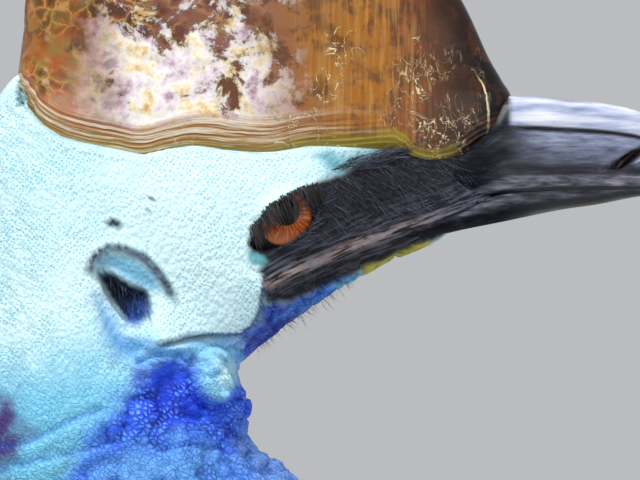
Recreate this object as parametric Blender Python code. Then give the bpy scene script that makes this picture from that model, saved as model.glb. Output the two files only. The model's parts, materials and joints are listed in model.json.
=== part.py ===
"""A life-size adult southern cassowary, standing still with its neck up and its bill forward.

Metres, +X the way the bird faces, +Y its left side, +Z up, floor at z = 0.
Every outline of the head is measured from the centre of the eye.
"""

import math
import random

import bmesh
import bpy
import numpy as np
from mathutils import Matrix, Vector
from mathutils.bvhtree import BVHTree

# Where the head is, and the gap that neighbours keep
EYE_X = 0.500
EYE_Z = 1.500
GAP = 0.0003

# Head and neck, front to back: top x, top z, bottom x, bottom z, half width, all from the eye
HEAD_SECTIONS = [
    (0.0482, 0.0205, 0.0533, -0.0017, 0.009),
    (0.0419, 0.0234, 0.0447, -0.0060, 0.013),
    (0.0333, 0.0262, 0.0333, -0.0114, 0.018),
    (0.0234, 0.0285, 0.0234, -0.0162, 0.0225),
    (0.0134, 0.0305, 0.0148, -0.0211, 0.0265),
    (0.0020, 0.0319, 0.0063, -0.0268, 0.0295),
    (-0.0123, 0.0333, -0.0014, -0.0331, 0.0315),
    (-0.0294, 0.0353, -0.0071, -0.0371, 0.0330),
    (-0.0465, 0.0376, -0.0105, -0.0399, 0.0340),
    (-0.0636, 0.0405, -0.0123, -0.0422, 0.0340),
    (-0.0764, 0.0416, -0.0128, -0.0450, 0.0340),
    (-0.0849, 0.0305, -0.0123, -0.0485, 0.0345),
    (-0.0906, 0.0162, -0.0105, -0.0513, 0.0355),
    (-0.0941, -0.0009, -0.0097, -0.0542, 0.0370),
    (-0.0963, -0.0194, -0.0103, -0.0576, 0.0385),
]
NECK_SECTIONS = [
    (-0.0963, -0.0194, -0.0103, -0.0576, 0.0385),
    (-0.0986, -0.0365, -0.0108, -0.0610, 0.0400),
    (-0.1012, -0.0536, -0.0088, -0.0650, 0.0410),
    (-0.1040, -0.0707, -0.0031, -0.0695, 0.0420),
    (-0.1069, -0.0878, 0.0048, -0.0764, 0.0420),
    (-0.1090, -0.1050, 0.0066, -0.0878, 0.0420),
    (-0.1140, -0.1400, -0.0020, -0.1250, 0.0410),
    (-0.1220, -0.1800, -0.0170, -0.1700, 0.0410),
    (-0.1340, -0.2300, -0.0320, -0.2250, 0.0420),
    (-0.1500, -0.2800, -0.0420, -0.2850, 0.0460),
    (-0.1750, -0.3250, -0.0480, -0.3500, 0.0540),
    (-0.2150, -0.3600, -0.0480, -0.4200, 0.0700),
]
# Torso to rump, as the dense core under the plumage, in the bird's own frame
TORSO_SECTIONS = [
    (0.285, 1.140, 0.452, 1.080, 0.070),
    (0.230, 1.120, 0.445, 1.000, 0.092),
    (0.160, 1.105, 0.420, 0.920, 0.122),
    (0.080, 1.095, 0.360, 0.830, 0.150),
    (0.000, 1.085, 0.260, 0.760, 0.170),
    (-0.080, 1.075, 0.130, 0.715, 0.184),
    (-0.160, 1.060, -0.010, 0.695, 0.190),
    (-0.240, 1.035, -0.130, 0.690, 0.185),
    (-0.320, 1.000, -0.240, 0.695, 0.170),
    (-0.400, 0.950, -0.340, 0.712, 0.143),
    (-0.470, 0.890, -0.420, 0.735, 0.105),
    (-0.520, 0.830, -0.490, 0.765, 0.055),
]
BODY_POWER = 2.25
TAIL_STATION = 7.8
STATION_LENGTH = 0.085

# Locks: rows from one station to another, as far round as reach, which lie back and fall
TORSO_LOCKS = {
    "seed": 11, "from": 0.30, "to": 6.5, "rows": 5, "reach": 2.95,
    "length": 0.215, "width": 0.150, "thick": 0.018, "lift": 0.024, "fall": 0.50,
}
TAIL_LOCKS = {
    "seed": 12, "from": 9.1, "to": 10.4, "rows": 2, "reach": 2.70,
    "length": 0.215, "width": 0.120, "thick": 0.018, "lift": 0.020, "fall": 0.15,
}
THIGH_LOCKS = {"seed": 13, "rows": 2, "columns": 5, "length": 0.115, "width": 0.070, "thick": 0.014, "lift": 0.019}
LOCK_POINTS = 5
LOCK_ROOT = 0.014

# Casque, bottom to top: height above the eye, rear x, front x, half width
CASQUE_SECTIONS = [
    (0.0172, -0.012, 0.046, 0.0170),
    (0.0200, -0.048, 0.050, 0.0262),
    (0.0240, -0.0630, 0.0545, 0.0285),
    (0.0300, -0.0715, 0.0600, 0.0285),
    (0.0390, -0.0750, 0.0625, 0.0275),
    (0.0470, -0.0748, 0.0600, 0.0262),
    (0.0633, -0.0727, 0.0513, 0.0240),
    (0.0850, -0.0715, 0.0370, 0.0205),
    (0.1080, -0.0715, 0.0210, 0.0175),
    (0.1300, -0.0690, 0.0040, 0.0140),
    (0.1500, -0.0620, -0.0130, 0.0100),
    (0.1630, -0.0530, -0.0270, 0.0060),
    (0.1685, -0.0450, -0.0370, 0.0025),
]

# Upper bill, base to tip: x, top z, mouth z, half width, all from the eye
BILL_UPPER = [
    (0.0040, -0.0125, -0.0175, 0.0250),
    (0.0190, -0.0040, -0.0095, 0.0222),
    (0.0333, 0.0055, -0.0020, 0.0190),
    (0.0476, 0.0180, 0.0026, 0.0165),
    (0.0561, 0.0270, 0.0052, 0.0148),
    (0.0630, 0.0350, 0.0070, 0.0135),
    (0.0700, 0.0354, 0.0085, 0.0125),
    (0.0789, 0.0347, 0.0099, 0.0112),
    (0.0903, 0.0340, 0.0107, 0.0097),
    (0.1017, 0.0312, 0.0114, 0.0083),
    (0.1117, 0.0262, 0.0115, 0.0070),
    (0.1200, 0.0200, 0.0112, 0.0054),
    (0.1262, 0.0142, 0.0106, 0.0030),
    (0.1288, 0.0112, 0.0100, 0.0012),
]
# Lower bill, base to tip: x, mouth z, bottom z, half width
BILL_LOWER = [
    (-0.0055, -0.0215, -0.0270, 0.0200),
    (0.0040, -0.0180, -0.0240, 0.0205),
    (0.0190, -0.0100, -0.0160, 0.0190),
    (0.0333, -0.0025, -0.0100, 0.0172),
    (0.0476, 0.0021, -0.0052, 0.0150),
    (0.0630, 0.0065, 0.0005, 0.0122),
    (0.0789, 0.0094, 0.0046, 0.0100),
    (0.0903, 0.0102, 0.0058, 0.0086),
    (0.1017, 0.0109, 0.0079, 0.0072),
    (0.1117, 0.0110, 0.0082, 0.0058),
    (0.1210, 0.0107, 0.0086, 0.0034),
    (0.1245, 0.0104, 0.0094, 0.0014),
]

NOSTRIL_CENTRE = (0.1010, 0.0210)
NOSTRIL_HALF_LENGTH = 0.0085
NOSTRIL_HALF_HEIGHT = 0.0026
NOSTRIL_DEPTH = 0.0032

EYE_RADIUS = 0.0145
EYE_OUT = 0.0325
LID_HALF_LENGTH = 0.0112
LID_HALF_HEIGHT = 0.0072
LID_TILT = math.radians(37)
LID_THICKNESS = 0.0022
LID_SINK = 0.0030

EAR_CENTRE = (-0.0440, -0.0205)
EAR_HALF_LENGTH = 0.0085
EAR_HALF_WIDTH = 0.0055
EAR_DEPTH = 0.0060
EAR_TILT = math.radians(-48)

WATTLE_ROOT = (-0.0140, -0.1600)
WATTLE_LENGTH = 0.135
WATTLE_SPREAD = 0.016

# Legs: side to side, and how far each foot stands ahead
HIP_Y = 0.098
FOOT_Y = 0.112
STRIDE = {"right": -0.035, "left": -0.095}
SIDES = {"right": -1, "left": 1}

COLOURS = {
    "skin": (0.35, 0.68, 0.85),
    "neck_skin": (0.06, 0.16, 0.72),
    "horn": (0.36, 0.20, 0.09),
    "bill": (0.04, 0.04, 0.05),
    "eye": (0.25, 0.09, 0.02),
    "wattle": (0.75, 0.10, 0.06),
    "plumage": (0.02, 0.018, 0.018),
    "scale": (0.30, 0.27, 0.23),
    "claw": (0.05, 0.045, 0.04),
}


def clear_scene():
    for obj in list(bpy.data.objects):
        bpy.data.objects.remove(obj)


def material(name):
    """The named finish, made once."""
    found = bpy.data.materials.get(name)
    if found:
        return found
    made = bpy.data.materials.new(name)
    made.use_nodes = True
    shader = made.node_tree.nodes["Principled BSDF"]
    shader.inputs["Base Color"].default_value = (*COLOURS[name], 1)
    shader.inputs["Roughness"].default_value = 0.35 if name in ("eye", "horn", "bill") else 0.6
    shader.inputs["Metallic"].default_value = 0.0
    return made


def from_eye(rows):
    """Rows of top x, top z, bottom x, bottom z, half width, moved from the eye to the bird's frame."""
    return [(a + EYE_X, b + EYE_Z, c + EYE_X, d + EYE_Z, w) for a, b, c, d, w in rows]


def row_at(rows, station):
    """The row at a station between the given rows, on one smooth curve through them."""
    rows = np.array(rows, float)
    ends = np.vstack([2 * rows[0] - rows[1], rows, 2 * rows[-1] - rows[-2]])
    i = max(0, min(int(station), len(rows) - 2))
    t = station - i
    a, b, c, d = ends[i : i + 4]
    return 0.5 * (2 * b + (c - a) * t + (2 * a - 5 * b + 4 * c - d) * t * t + (3 * b - a - 3 * c + d) * t**3)


def smoothed(rows, count):
    return [row_at(rows, station) for station in np.linspace(0, len(rows) - 1, count)]


def power_curve(angle, power):
    """A point on a unit superellipse: its cosine side and its sine side."""
    c, s = math.cos(angle), math.sin(angle)
    return math.copysign(abs(c) ** (2 / power), c), math.copysign(abs(s) ** (2 / power), s)


def body_ring(section, sides, power=2.3, grow=0.0):
    """One cross-section of the body, from its top line to its bottom line."""
    top = Vector((section[0], 0, section[1]))
    bottom = Vector((section[2], 0, section[3]))
    centre, up = (top + bottom) / 2, (top - bottom).normalized()
    half = (top - bottom).length / 2 + grow
    points = []
    for i in range(sides):
        c, s = power_curve(2 * math.pi * i / sides, power)
        points.append(centre + up * (half * c) + Vector((0, (section[4] + grow) * s, 0)))
    return points


def level_ring(height, rear, front, half_width, sides, keel=0.75):
    """One level cross-section of the casque: round behind, drawn to a keel in front."""
    points = []
    for i in range(sides):
        angle = 2 * math.pi * i / sides
        along = (1 - math.cos(angle)) / 2
        across = abs(math.sin(angle)) ** keel * (1 - 0.42 * along**1.6)
        y = math.copysign(half_width * across, math.sin(angle)) if i % sides else 0.0
        points.append(Vector((rear + (front - rear) * along, y, height)))
    return points


def outward(bm):
    """Turns every face of a closed mesh outwards and splits it into triangles."""
    bmesh.ops.recalc_face_normals(bm, faces=bm.faces)
    if bm.calc_volume(signed=True) < 0:
        bmesh.ops.reverse_faces(bm, faces=bm.faces)
    bmesh.ops.triangulate(bm, faces=bm.faces, quad_method="FIXED", ngon_method="BEAUTY")
    return bm


def grown(bm, by=GAP):
    """The closed mesh with every face moved outwards by this much."""
    bm.normal_update()
    moves = [corner.normal * (by * min(corner.calc_shell_factor(), 2.5)) for corner in bm.verts]
    for corner, move in zip(bm.verts, moves):
        corner.co += move
    return bm


def loft(rings):
    """A closed mesh through rings of equal point count, made by extruding a cap from ring to ring."""
    bm = bmesh.new()
    bmesh.ops.create_circle(bm, cap_ends=True, segments=len(rings[0]), radius=1)
    bm.faces.ensure_lookup_table()
    cap = bm.faces[0]
    for corner, point in zip(cap.verts, rings[0]):
        corner.co = point
    for number, ring in enumerate(rings[1:]):
        grown = bmesh.ops.extrude_face_region(bm, geom=[cap])["geom"]
        if number:
            bm.faces.remove(cap)
        cap = next(g for g in grown if isinstance(g, bmesh.types.BMFace))
        for corner, point in zip(cap.verts, ring):
            corner.co = point
    return outward(bm)


def tube_rings(path, across, upright, sides):
    """Rings square to a path, with a half width and a half height at each point."""
    rings = []
    for i, point in enumerate(path):
        ahead = (path[min(i + 1, len(path) - 1)] - path[max(i - 1, 0)]).normalized()
        side = (Vector((0, 1, 0)) - ahead * ahead.y).normalized()
        up = ahead.cross(side).normalized()
        ring = []
        for k in range(sides):
            angle = 2 * math.pi * k / sides
            ring.append(point + side * (across[i] * math.sin(angle)) + up * (upright[i] * math.cos(angle)))
        rings.append(ring)
    return rings


def tube(path, across, upright, sides):
    return loft(tube_rings(path, across, upright, sides))


def ellipsoid(centre, radii, turn=None, segments=16, rings=10):
    bm = bmesh.new()
    bmesh.ops.create_uvsphere(bm, u_segments=segments, v_segments=rings, radius=1)
    bmesh.ops.scale(bm, vec=radii, verts=bm.verts)
    if turn is not None:
        bmesh.ops.rotate(bm, matrix=turn, verts=bm.verts)
    bmesh.ops.translate(bm, vec=centre, verts=bm.verts)
    return outward(bm)


def keep_side(bm, point, normal):
    """Cuts the mesh by a plane and closes it, leaving the side that the normal points to."""
    geometry = bm.verts[:] + bm.edges[:] + bm.faces[:]
    cut = bmesh.ops.bisect_plane(bm, geom=geometry, plane_co=point, plane_no=normal, clear_inner=True)
    rim = [g for g in cut["geom_cut"] if isinstance(g, bmesh.types.BMEdge)]
    if rim:
        bmesh.ops.holes_fill(bm, edges=rim)
    return bm


def new_object(name, bm, finish=None):
    mesh = bpy.data.meshes.new(name)
    bm.to_mesh(mesh)
    bm.free()
    obj = bpy.data.objects.new(name, mesh)
    bpy.context.scene.collection.objects.link(obj)
    if finish:
        mesh.materials.append(material(finish))
    return obj


def combine(obj, operation, pieces):
    """Closed pieces fused into the object, or cut out of it, in one Boolean, and then removed."""
    group = bpy.data.collections.new(obj.name + "_pieces")
    bpy.context.scene.collection.children.link(group)
    for number, piece in enumerate(pieces):
        extra = new_object(f"{obj.name}_piece_{number}", piece)
        bpy.context.scene.collection.objects.unlink(extra)
        group.objects.link(extra)
    step = obj.modifiers.new(operation.lower(), "BOOLEAN")
    step.operation = operation
    step.solver = "MANIFOLD"
    step.operand_type = "COLLECTION"
    step.collection = group
    bpy.context.view_layer.update()
    graph = bpy.context.evaluated_depsgraph_get()
    result = bpy.data.meshes.new_from_object(obj.evaluated_get(graph))
    obj.modifiers.clear()
    obj.data = result
    for extra in list(group.objects):
        bpy.data.objects.remove(extra)
    bpy.data.collections.remove(group)
    keep_largest(obj)


def fuse(obj, pieces):
    combine(obj, "UNION", pieces)


def cut(obj, cutters):
    combine(obj, "DIFFERENCE", cutters)


def keep_largest(obj):
    """Leaves only the largest closed surface of the object."""
    bm = bmesh.new()
    bm.from_mesh(obj.data)
    islands, seen = [], set()
    for start in bm.faces:
        if start in seen:
            continue
        island, stack = [], [start]
        seen.add(start)
        while stack:
            face = stack.pop()
            island.append(face)
            for edge in face.edges:
                for other in edge.link_faces:
                    if other not in seen:
                        seen.add(other)
                        stack.append(other)
        islands.append(island)
    islands.sort(key=lambda island: sum(face.calc_area() for face in island), reverse=True)
    for island in islands[1:]:
        bmesh.ops.delete(bm, geom=island, context="FACES")
    bm.to_mesh(obj.data)
    bm.free()


def casque_mesh():
    rings = []
    for height, rear, front, half_width in smoothed(CASQUE_SECTIONS, 15):
        rings.append(level_ring(height, rear, front, half_width, 16))
    bm = loft(rings)
    bmesh.ops.translate(bm, vec=(EYE_X, 0, EYE_Z), verts=bm.verts)
    return bm


def bill_ring(x, top, bottom, half_width, profile):
    """One upright cross-section of the bill: profile gives how wide it is at each share of its height."""
    right = [Vector((x, -half_width * wide, bottom + (top - bottom) * high)) for wide, high in profile]
    left = [Vector((point.x, -point.y, point.z)) for point in reversed(right)]
    return [point for point in right if abs(point.y) > 1e-7] + [left[0]] + left[1:-1] + [right[0]]


def bill_mesh(sections, profile, count):
    rings = []
    for x, top, bottom, half_width in smoothed(sections, count):
        rings.append(bill_ring(x, max(top, bottom), min(top, bottom), half_width, profile))
    bm = loft(rings)
    bmesh.ops.translate(bm, vec=(EYE_X, 0, EYE_Z), verts=bm.verts)
    return bm


UPPER_PROFILE = [(0, 0), (0.86, 0.0), (1.0, 0.12), (0.84, 0.36), (0.78, 0.58), (0.50, 0.74), (0.40, 0.92), (0, 1.0)]
LOWER_PROFILE = [(0, 0), (0.62, 0.06), (0.9, 0.35), (1.0, 0.8), (0.94, 1.0), (0, 1.0)]


def upper_bill_mesh():
    return bill_mesh(BILL_UPPER, UPPER_PROFILE, 13)


def lower_bill_mesh():
    return bill_mesh(BILL_LOWER, LOWER_PROFILE, 12)


def eye_mesh(side):
    centre = (EYE_X, side * (EYE_OUT - EYE_RADIUS), EYE_Z)
    return ellipsoid(centre, (EYE_RADIUS,) * 3, Matrix.Rotation(math.pi / 2, 3, "X"), 12, 7)


def side_reach(rows, power, x, z, missing):
    """Half the body's width at a point of its side view, from the sections given."""
    best = missing
    for section in rows:
        top, bottom = Vector((section[0], section[1])), Vector((section[2], section[3]))
        centre, axis = (top + bottom) / 2, (top - bottom) / 2
        offset = Vector((x, z)) - centre
        along = offset.dot(axis) / axis.length_squared
        apart = abs(offset.cross(axis)) / axis.length
        if apart < 0.03 * axis.length + 0.003 and abs(along) < 1:
            best = section[4] * (1 - abs(along) ** power) ** (1 / power)
    return best


def head_surface_y(x, z):
    """Half the head's width, at x and z from the eye."""
    return side_reach(smoothed(HEAD_SECTIONS, 60), 2.3, x, z, 0.02)


def lid_mesh(side):
    """Both lids as one almond ring, as thick as the lids and half sunk in the head."""
    bm = bmesh.new()
    profile = bmesh.ops.create_circle(bm, cap_ends=False, segments=5, radius=LID_THICKNESS)["verts"]
    bmesh.ops.rotate(bm, matrix=Matrix.Rotation(math.pi / 2, 3, "X"), verts=profile)
    bmesh.ops.translate(bm, vec=(1, 0, 0), verts=profile)
    bmesh.ops.spin(bm, geom=bm.edges[:], cent=(0, 0, 0), axis=(0, 0, 1), angle=2 * math.pi, steps=15)
    bmesh.ops.remove_doubles(bm, verts=bm.verts, dist=1e-5)
    for corner in bm.verts:
        c, s = power_curve(math.atan2(corner.co.y, corner.co.x), 1.7)
        wide = LID_THICKNESS + math.hypot(corner.co.x, corner.co.y) - 1
        flat = Matrix.Rotation(LID_TILT, 2) @ Vector((c * (LID_HALF_LENGTH + wide), s * (LID_HALF_HEIGHT + wide)))
        y = side * (EYE_OUT - LID_SINK + corner.co.z)
        corner.co = Vector((EYE_X + flat.x, y, EYE_Z + flat.y))
    return outward(bm)


def side_lump(x, z, radii, side, turn=0.0, sink=0.0):
    """An ellipsoid set on the side of the head: x and z from the eye."""
    y = side * (head_surface_y(x, z) - sink)
    return ellipsoid((EYE_X + x, y, EYE_Z + z), radii, Matrix.Rotation(-turn, 3, "Y"), 8, 5)


def ear_hood(side):
    """The fold of skin that arches over the ear."""
    path, across = [], []
    for i in range(7):
        angle = math.radians(200 - 33 * i)
        flat = Matrix.Rotation(EAR_TILT, 2) @ Vector(
            (1.25 * EAR_HALF_LENGTH * math.cos(angle), 1.35 * EAR_HALF_WIDTH * math.sin(angle))
        )
        x, z = EAR_CENTRE[0] + flat.x, EAR_CENTRE[1] + flat.y + 0.001
        path.append(Vector((EYE_X + x, side * (head_surface_y(x, z) + 0.0002), EYE_Z + z)))
        across.append(0.0007 + 0.0014 * math.sin(math.pi * i / 6))
    return tube(path, across, across, 5)


def head():
    rings = [body_ring(section, 18) for section in smoothed(from_eye(HEAD_SECTIONS), 16)]
    pieces = []
    for side in SIDES.values():
        pieces.append(lid_mesh(side))
        pieces.append(ear_hood(side))
        pieces.append(side_lump(-0.0120, -0.0265, (0.0085, 0.0050, 0.0065), side, 0.2, 0.0015))
        pieces.append(side_lump(-0.0190, -0.0420, (0.0060, 0.0055, 0.0085), side, 0.3, 0.0015))
    obj = new_object("head", loft(rings), "skin")
    fuse(obj, pieces)
    cutters = [grown(casque_mesh()), grown(upper_bill_mesh()), grown(lower_bill_mesh())]
    for side in SIDES.values():
        cutters.append(grown(eye_mesh(side)))
        y = side * (head_surface_y(*EAR_CENTRE) + 0.001)
        cup = (EAR_HALF_LENGTH, EAR_DEPTH, EAR_HALF_WIDTH)
        centre = (EYE_X + EAR_CENTRE[0], y, EYE_Z + EAR_CENTRE[1])
        cutters.append(ellipsoid(centre, cup, Matrix.Rotation(-EAR_TILT, 3, "Y"), 10, 6))
    cut(obj, cutters)


def bill():
    upper = new_object("bill_upper", upper_bill_mesh(), "bill")
    cutters = [grown(casque_mesh())]
    for side in SIDES.values():
        cutters.append(grown(eye_mesh(side)))
        x, z = NOSTRIL_CENTRE
        cutters.append(
            ellipsoid(
                (EYE_X + x, side * 0.0072, EYE_Z + z),
                (NOSTRIL_HALF_LENGTH, NOSTRIL_DEPTH, NOSTRIL_HALF_HEIGHT),
                Matrix.Rotation(math.radians(-12), 3, "Y"),
                12,
                6,
            )
        )
    cut(upper, cutters)
    new_object("bill_lower", lower_bill_mesh(), "bill")


def eyes():
    for name, side in SIDES.items():
        new_object("eye_" + name, eye_mesh(side), "eye")


def fold_swell(index, count):
    """How far the loose skin of the throat stands out at one ring of the neck."""
    return 0.0012 * math.sin(index * 2.1) if 1 < index < count - 4 else 0.0


def wattle_mesh(side):
    """One red wattle: thin at its root, round and heavy at its end."""
    root_x, root_z = WATTLE_ROOT
    path, across, thick = [], [], []
    for i in range(13):
        t = i / 12
        forward = 0.012 * math.sin(min(1.0, t * 4) * math.pi / 2)
        x = EYE_X + root_x - 0.010 + forward + 0.010 * t
        y = side * (0.010 + WATTLE_SPREAD * t)
        path.append(Vector((x, y, EYE_Z + root_z - WATTLE_LENGTH * t)))
        bulb = math.sin(math.pi * min(1.0, 0.12 + 0.88 * t) ** 1.5) ** 0.7 if t < 1 else 0.1
        across.append(0.0045 + 0.0145 * bulb * t**0.6)
        thick.append(0.0040 + 0.0045 * bulb)
    rings = []
    for point, wide, deep in zip(path, across, thick):
        ring = []
        for k in range(10):
            angle = 2 * math.pi * k / 10
            ring.append(point + Vector((wide * math.cos(angle), deep * math.sin(angle), 0)))
        rings.append(ring)
    return loft(rings)


def neck():
    sections = smoothed(from_eye(NECK_SECTIONS), 18)
    rings = []
    for index, section in enumerate(sections):
        rings.append(body_ring(section, 18, 2.3, fold_swell(index, len(sections))))
    for ring, away in ((rings[0], -1), (rings[-1], 1)):
        normal = (ring[4] - ring[0]).cross(ring[9] - ring[0]).normalized()
        if normal.z * away < 0:
            normal.negate()
        for point in ring:
            point += normal * GAP
    obj = new_object("neck", loft(rings), "neck_skin")
    cut(obj, [grown(wattle_mesh(side)) for side in SIDES.values()])


def wattles():
    for name, side in SIDES.items():
        new_object("wattle_" + name, wattle_mesh(side), "wattle")


def torso_rings(count):
    return [body_ring(section, 18, BODY_POWER) for section in smoothed(TORSO_SECTIONS, count)]


def body_point(station, angle, out):
    """A point over the body's core: angle 0 is the back, and it grows towards the left side."""
    last = len(TORSO_SECTIONS) - 1
    section = row_at(TORSO_SECTIONS, min(station, last))
    top, bottom = Vector((section[0], 0, section[1])), Vector((section[2], 0, section[3]))
    up = (top - bottom).normalized()
    c, s = power_curve(angle, BODY_POWER)
    point = (top + bottom) / 2 + up * (((top - bottom).length / 2 + out) * c)
    point.y += (section[4] + out) * s
    return point + Vector((-0.05, 0, -0.09)) * max(0.0, station - last)


def lock_mesh(path, centre, width, thick):
    """A flat lock of feathers along a path, its broad side turned away from the body's centre."""
    rings, count = [], len(path) - 1
    for i, point in enumerate(path):
        t = i / count
        ahead = (path[min(i + 1, count)] - path[max(i - 1, 0)]).normalized()
        away = point - centre
        away = (away - ahead * away.dot(ahead)).normalized()
        side = away.cross(ahead)
        half = width / 2 * (0.45 + 2.2 * t - 1.65 * t * t) * (1 - t**5) + 0.0006
        high = thick / 2 * (1 - 0.75 * t) + 0.0003
        rings.append([point + side * half, point + away * high, point - side * half, point - away * high])
    return loft(rings)


def body_lock(station, angle, sizes, draw):
    """One lock on the body, which starts inside the core and lies back and down over it."""
    length = sizes["length"] * draw.uniform(0.88, 1.12)
    low = abs(math.sin(angle)) if abs(angle) < math.pi / 2 else 1.0
    hem = max(0.0, -math.cos(angle)) * min(1.0, station / 3)
    path = []
    for i in range(LOCK_POINTS):
        t = i / (LOCK_POINTS - 1)
        turned = angle + math.copysign(sizes["fall"] * low * t * (1 - hem), angle)
        out = -LOCK_ROOT + (LOCK_ROOT + sizes["lift"]) * math.sin(min(1.0, 1.7 * t) * math.pi / 2)
        point = body_point(station + length / STATION_LENGTH * (1 - 0.55 * hem) * t, turned, out)
        point.z -= length * (0.12 * low + 0.42 * hem) * t * t
        path.append(point)
    section = row_at(TORSO_SECTIONS, min(station, len(TORSO_SECTIONS) - 1))
    centre = Vector(((section[0] + section[2]) / 2, 0, (section[1] + section[3]) / 2))
    return lock_mesh(path, centre, sizes["width"] * draw.uniform(0.9, 1.1), sizes["thick"])


def lock_rows(sizes, keep_out=None):
    """Rows of locks round the body, each row set half a lock aside from the one before."""
    draw = random.Random(sizes["seed"])
    locks = []
    for number in range(sizes["rows"]):
        station = sizes["from"] + (sizes["to"] - sizes["from"]) * number / (sizes["rows"] - 1)
        section = row_at(TORSO_SECTIONS, min(station, len(TORSO_SECTIONS) - 1))
        height = math.hypot(section[0] - section[2], section[1] - section[3])
        girth = (height / 2 + section[4]) * sizes["reach"]
        pairs = max(1, round(girth / sizes["width"] / 2))
        columns = 2 * pairs + (number + 1) % 2
        for column in range(columns):
            angle = sizes["reach"] * (2 * (column + 0.5) / columns - 1) + draw.uniform(-0.04, 0.04)
            lock = body_lock(station + draw.uniform(-0.12, 0.12), angle, sizes, draw)
            if keep_out and any(len(tree.overlap(BVHTree.FromBMesh(lock))) for tree in keep_out):
                lock.free()
                continue
            locks.append(lock)
    return locks


def tail_plane():
    """A point and the rearward normal of the plane where the rump plumage parts from the torso."""
    section = smoothed(TORSO_SECTIONS, 111)[int(TAIL_STATION * 10)]
    up = Vector((section[0] - section[2], 0, section[1] - section[3])).normalized()
    return Vector((section[0], 0, section[1])), Vector((-up.z, 0, up.x))


def thigh_path(name):
    """The thigh as path, side half widths and fore-and-aft half widths."""
    side, ahead = SIDES[name], STRIDE[name]
    rows = [
        (-0.040, 0.800, 0.066, 0.088),
        (0.015, 0.730, 0.070, 0.092),
        (0.045, 0.650, 0.068, 0.086),
        (0.030, 0.570, 0.057, 0.070),
        (-0.010, 0.500, 0.045, 0.054),
        (-0.045, 0.450, 0.036, 0.042),
        (-0.056, 0.425, 0.031, 0.036),
    ]
    path, across, upright = [], [], []
    for x, z, wide, deep in smoothed(rows, 10):
        low = min(1.0, (0.80 - z) / 0.40)
        y = side * (HIP_Y + (FOOT_Y - HIP_Y) * low)
        path.append(Vector((x + ahead * low, y, z)))
        across.append(wide)
        upright.append(deep)
    return path, across, upright


def thigh_mesh(name):
    return tube(*thigh_path(name), 12)


def thigh_locks(name):
    """Locks that hang down the lower half of the thigh."""
    sizes = THIGH_LOCKS
    draw = random.Random(sizes["seed"])
    path, across, upright = thigh_path(name)
    locks = []
    for row in range(sizes["rows"]):
        for column in range(sizes["columns"]):
            angle = 2 * math.pi * (column + 0.5 * row) / sizes["columns"] + draw.uniform(-0.1, 0.1)
            start = 4.3 + 1.7 * row
            lock = []
            for i in range(4):
                station = start + sizes["length"] / 0.047 * i / 3
                t = i / 3
                k = min(int(station), len(path) - 2)
                middle = path[k].lerp(path[k + 1], station - k)
                wide = across[k] + (across[k + 1] - across[k]) * (station - k)
                deep = upright[k] + (upright[k + 1] - upright[k]) * (station - k)
                out = -0.010 + (0.010 + sizes["lift"]) * math.sin(min(1.0, 1.5 * t) * math.pi / 2)
                offset = Vector(((deep + out) * math.cos(angle), (wide + out) * math.sin(angle), 0))
                lock.append(middle + offset)
            width = sizes["width"] * draw.uniform(0.9, 1.1)
            locks.append(lock_mesh(lock, path[int(start)], width, sizes["thick"]))
    return locks


def thigh(name):
    obj = new_object("thigh_" + name, thigh_mesh(name), "plumage")
    fuse(obj, thigh_locks(name))
    cut(obj, [grown(shank_mesh(name))])


def foot_centre(name):
    return Vector((STRIDE[name], SIDES[name] * FOOT_Y, 0))


def slab_below(height):
    """A wide block whose top lies at this height."""
    bm = bmesh.new()
    bmesh.ops.create_cube(bm, size=1)
    bmesh.ops.translate(bm, vec=(0, 0, height - 0.5), verts=bm.verts)
    bmesh.ops.scale(bm, vec=(2, 2, 1), verts=bm.verts)
    return bm


# Hock, shank and pad, from the top: x from the foot's middle, z, half width, half depth
LEG = [
    (-0.052, 0.470, 0.0190, 0.0220),
    (-0.060, 0.430, 0.0270, 0.0310),
    (-0.062, 0.400, 0.0295, 0.0330),
    (-0.056, 0.365, 0.0240, 0.0270),
    (-0.046, 0.300, 0.0195, 0.0225),
    (-0.032, 0.220, 0.0190, 0.0215),
    (-0.018, 0.140, 0.0200, 0.0220),
    (-0.008, 0.085, 0.0250, 0.0245),
    (-0.001, 0.055, 0.0310, 0.0300),
    (0.002, 0.025, 0.0330, 0.0330),
    (0.002, -0.010, 0.0300, 0.0300),
]
SHANK_SCUTES = 9
SHANK_FROM, SHANK_TO = 2.4, 7.0
SCUTE_RISE = 0.0014


def scute_steps(count):
    """Shares of a length where scutes begin and end, each with how far the ring there is raised."""
    steps = []
    for number in range(count):
        steps += [(number / count, 0.0), ((number + 0.93) / count, 1.0)]
    return steps + [(1.0, 0.0)]


def leg_rings(name):
    """Rings from the hock to the pad, those of the shank raised in front as its scutes."""
    foot = foot_centre(name)
    stations = [(0.0, 0), (0.8, 0), (1.4, 0), (2.0, 0)]
    stations += [(SHANK_FROM + (SHANK_TO - SHANK_FROM) * share, high) for share, high in scute_steps(SHANK_SCUTES)]
    stations += [(7.6, 0), (8.3, 0), (9.0, 0), (10.0, 0)]
    rows = [row_at(LEG, station) for station, high in stations]
    path = [Vector((foot.x + x, foot.y, z)) for x, z, wide, deep in rows]
    rings = tube_rings(path, [row[2] for row in rows], [row[3] for row in rows], 12)
    for ring, point, (station, high) in zip(rings, path, stations):
        for corner in ring:
            ahead = (corner - point).normalized().x
            corner += (corner - point).normalized() * (SCUTE_RISE * high * max(0.0, ahead) ** 0.5)
    return rings


SHANK_RINGS = 4 + 2 * SHANK_SCUTES + 1


def shank_mesh(name):
    return loft(leg_rings(name)[:SHANK_RINGS])


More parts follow.
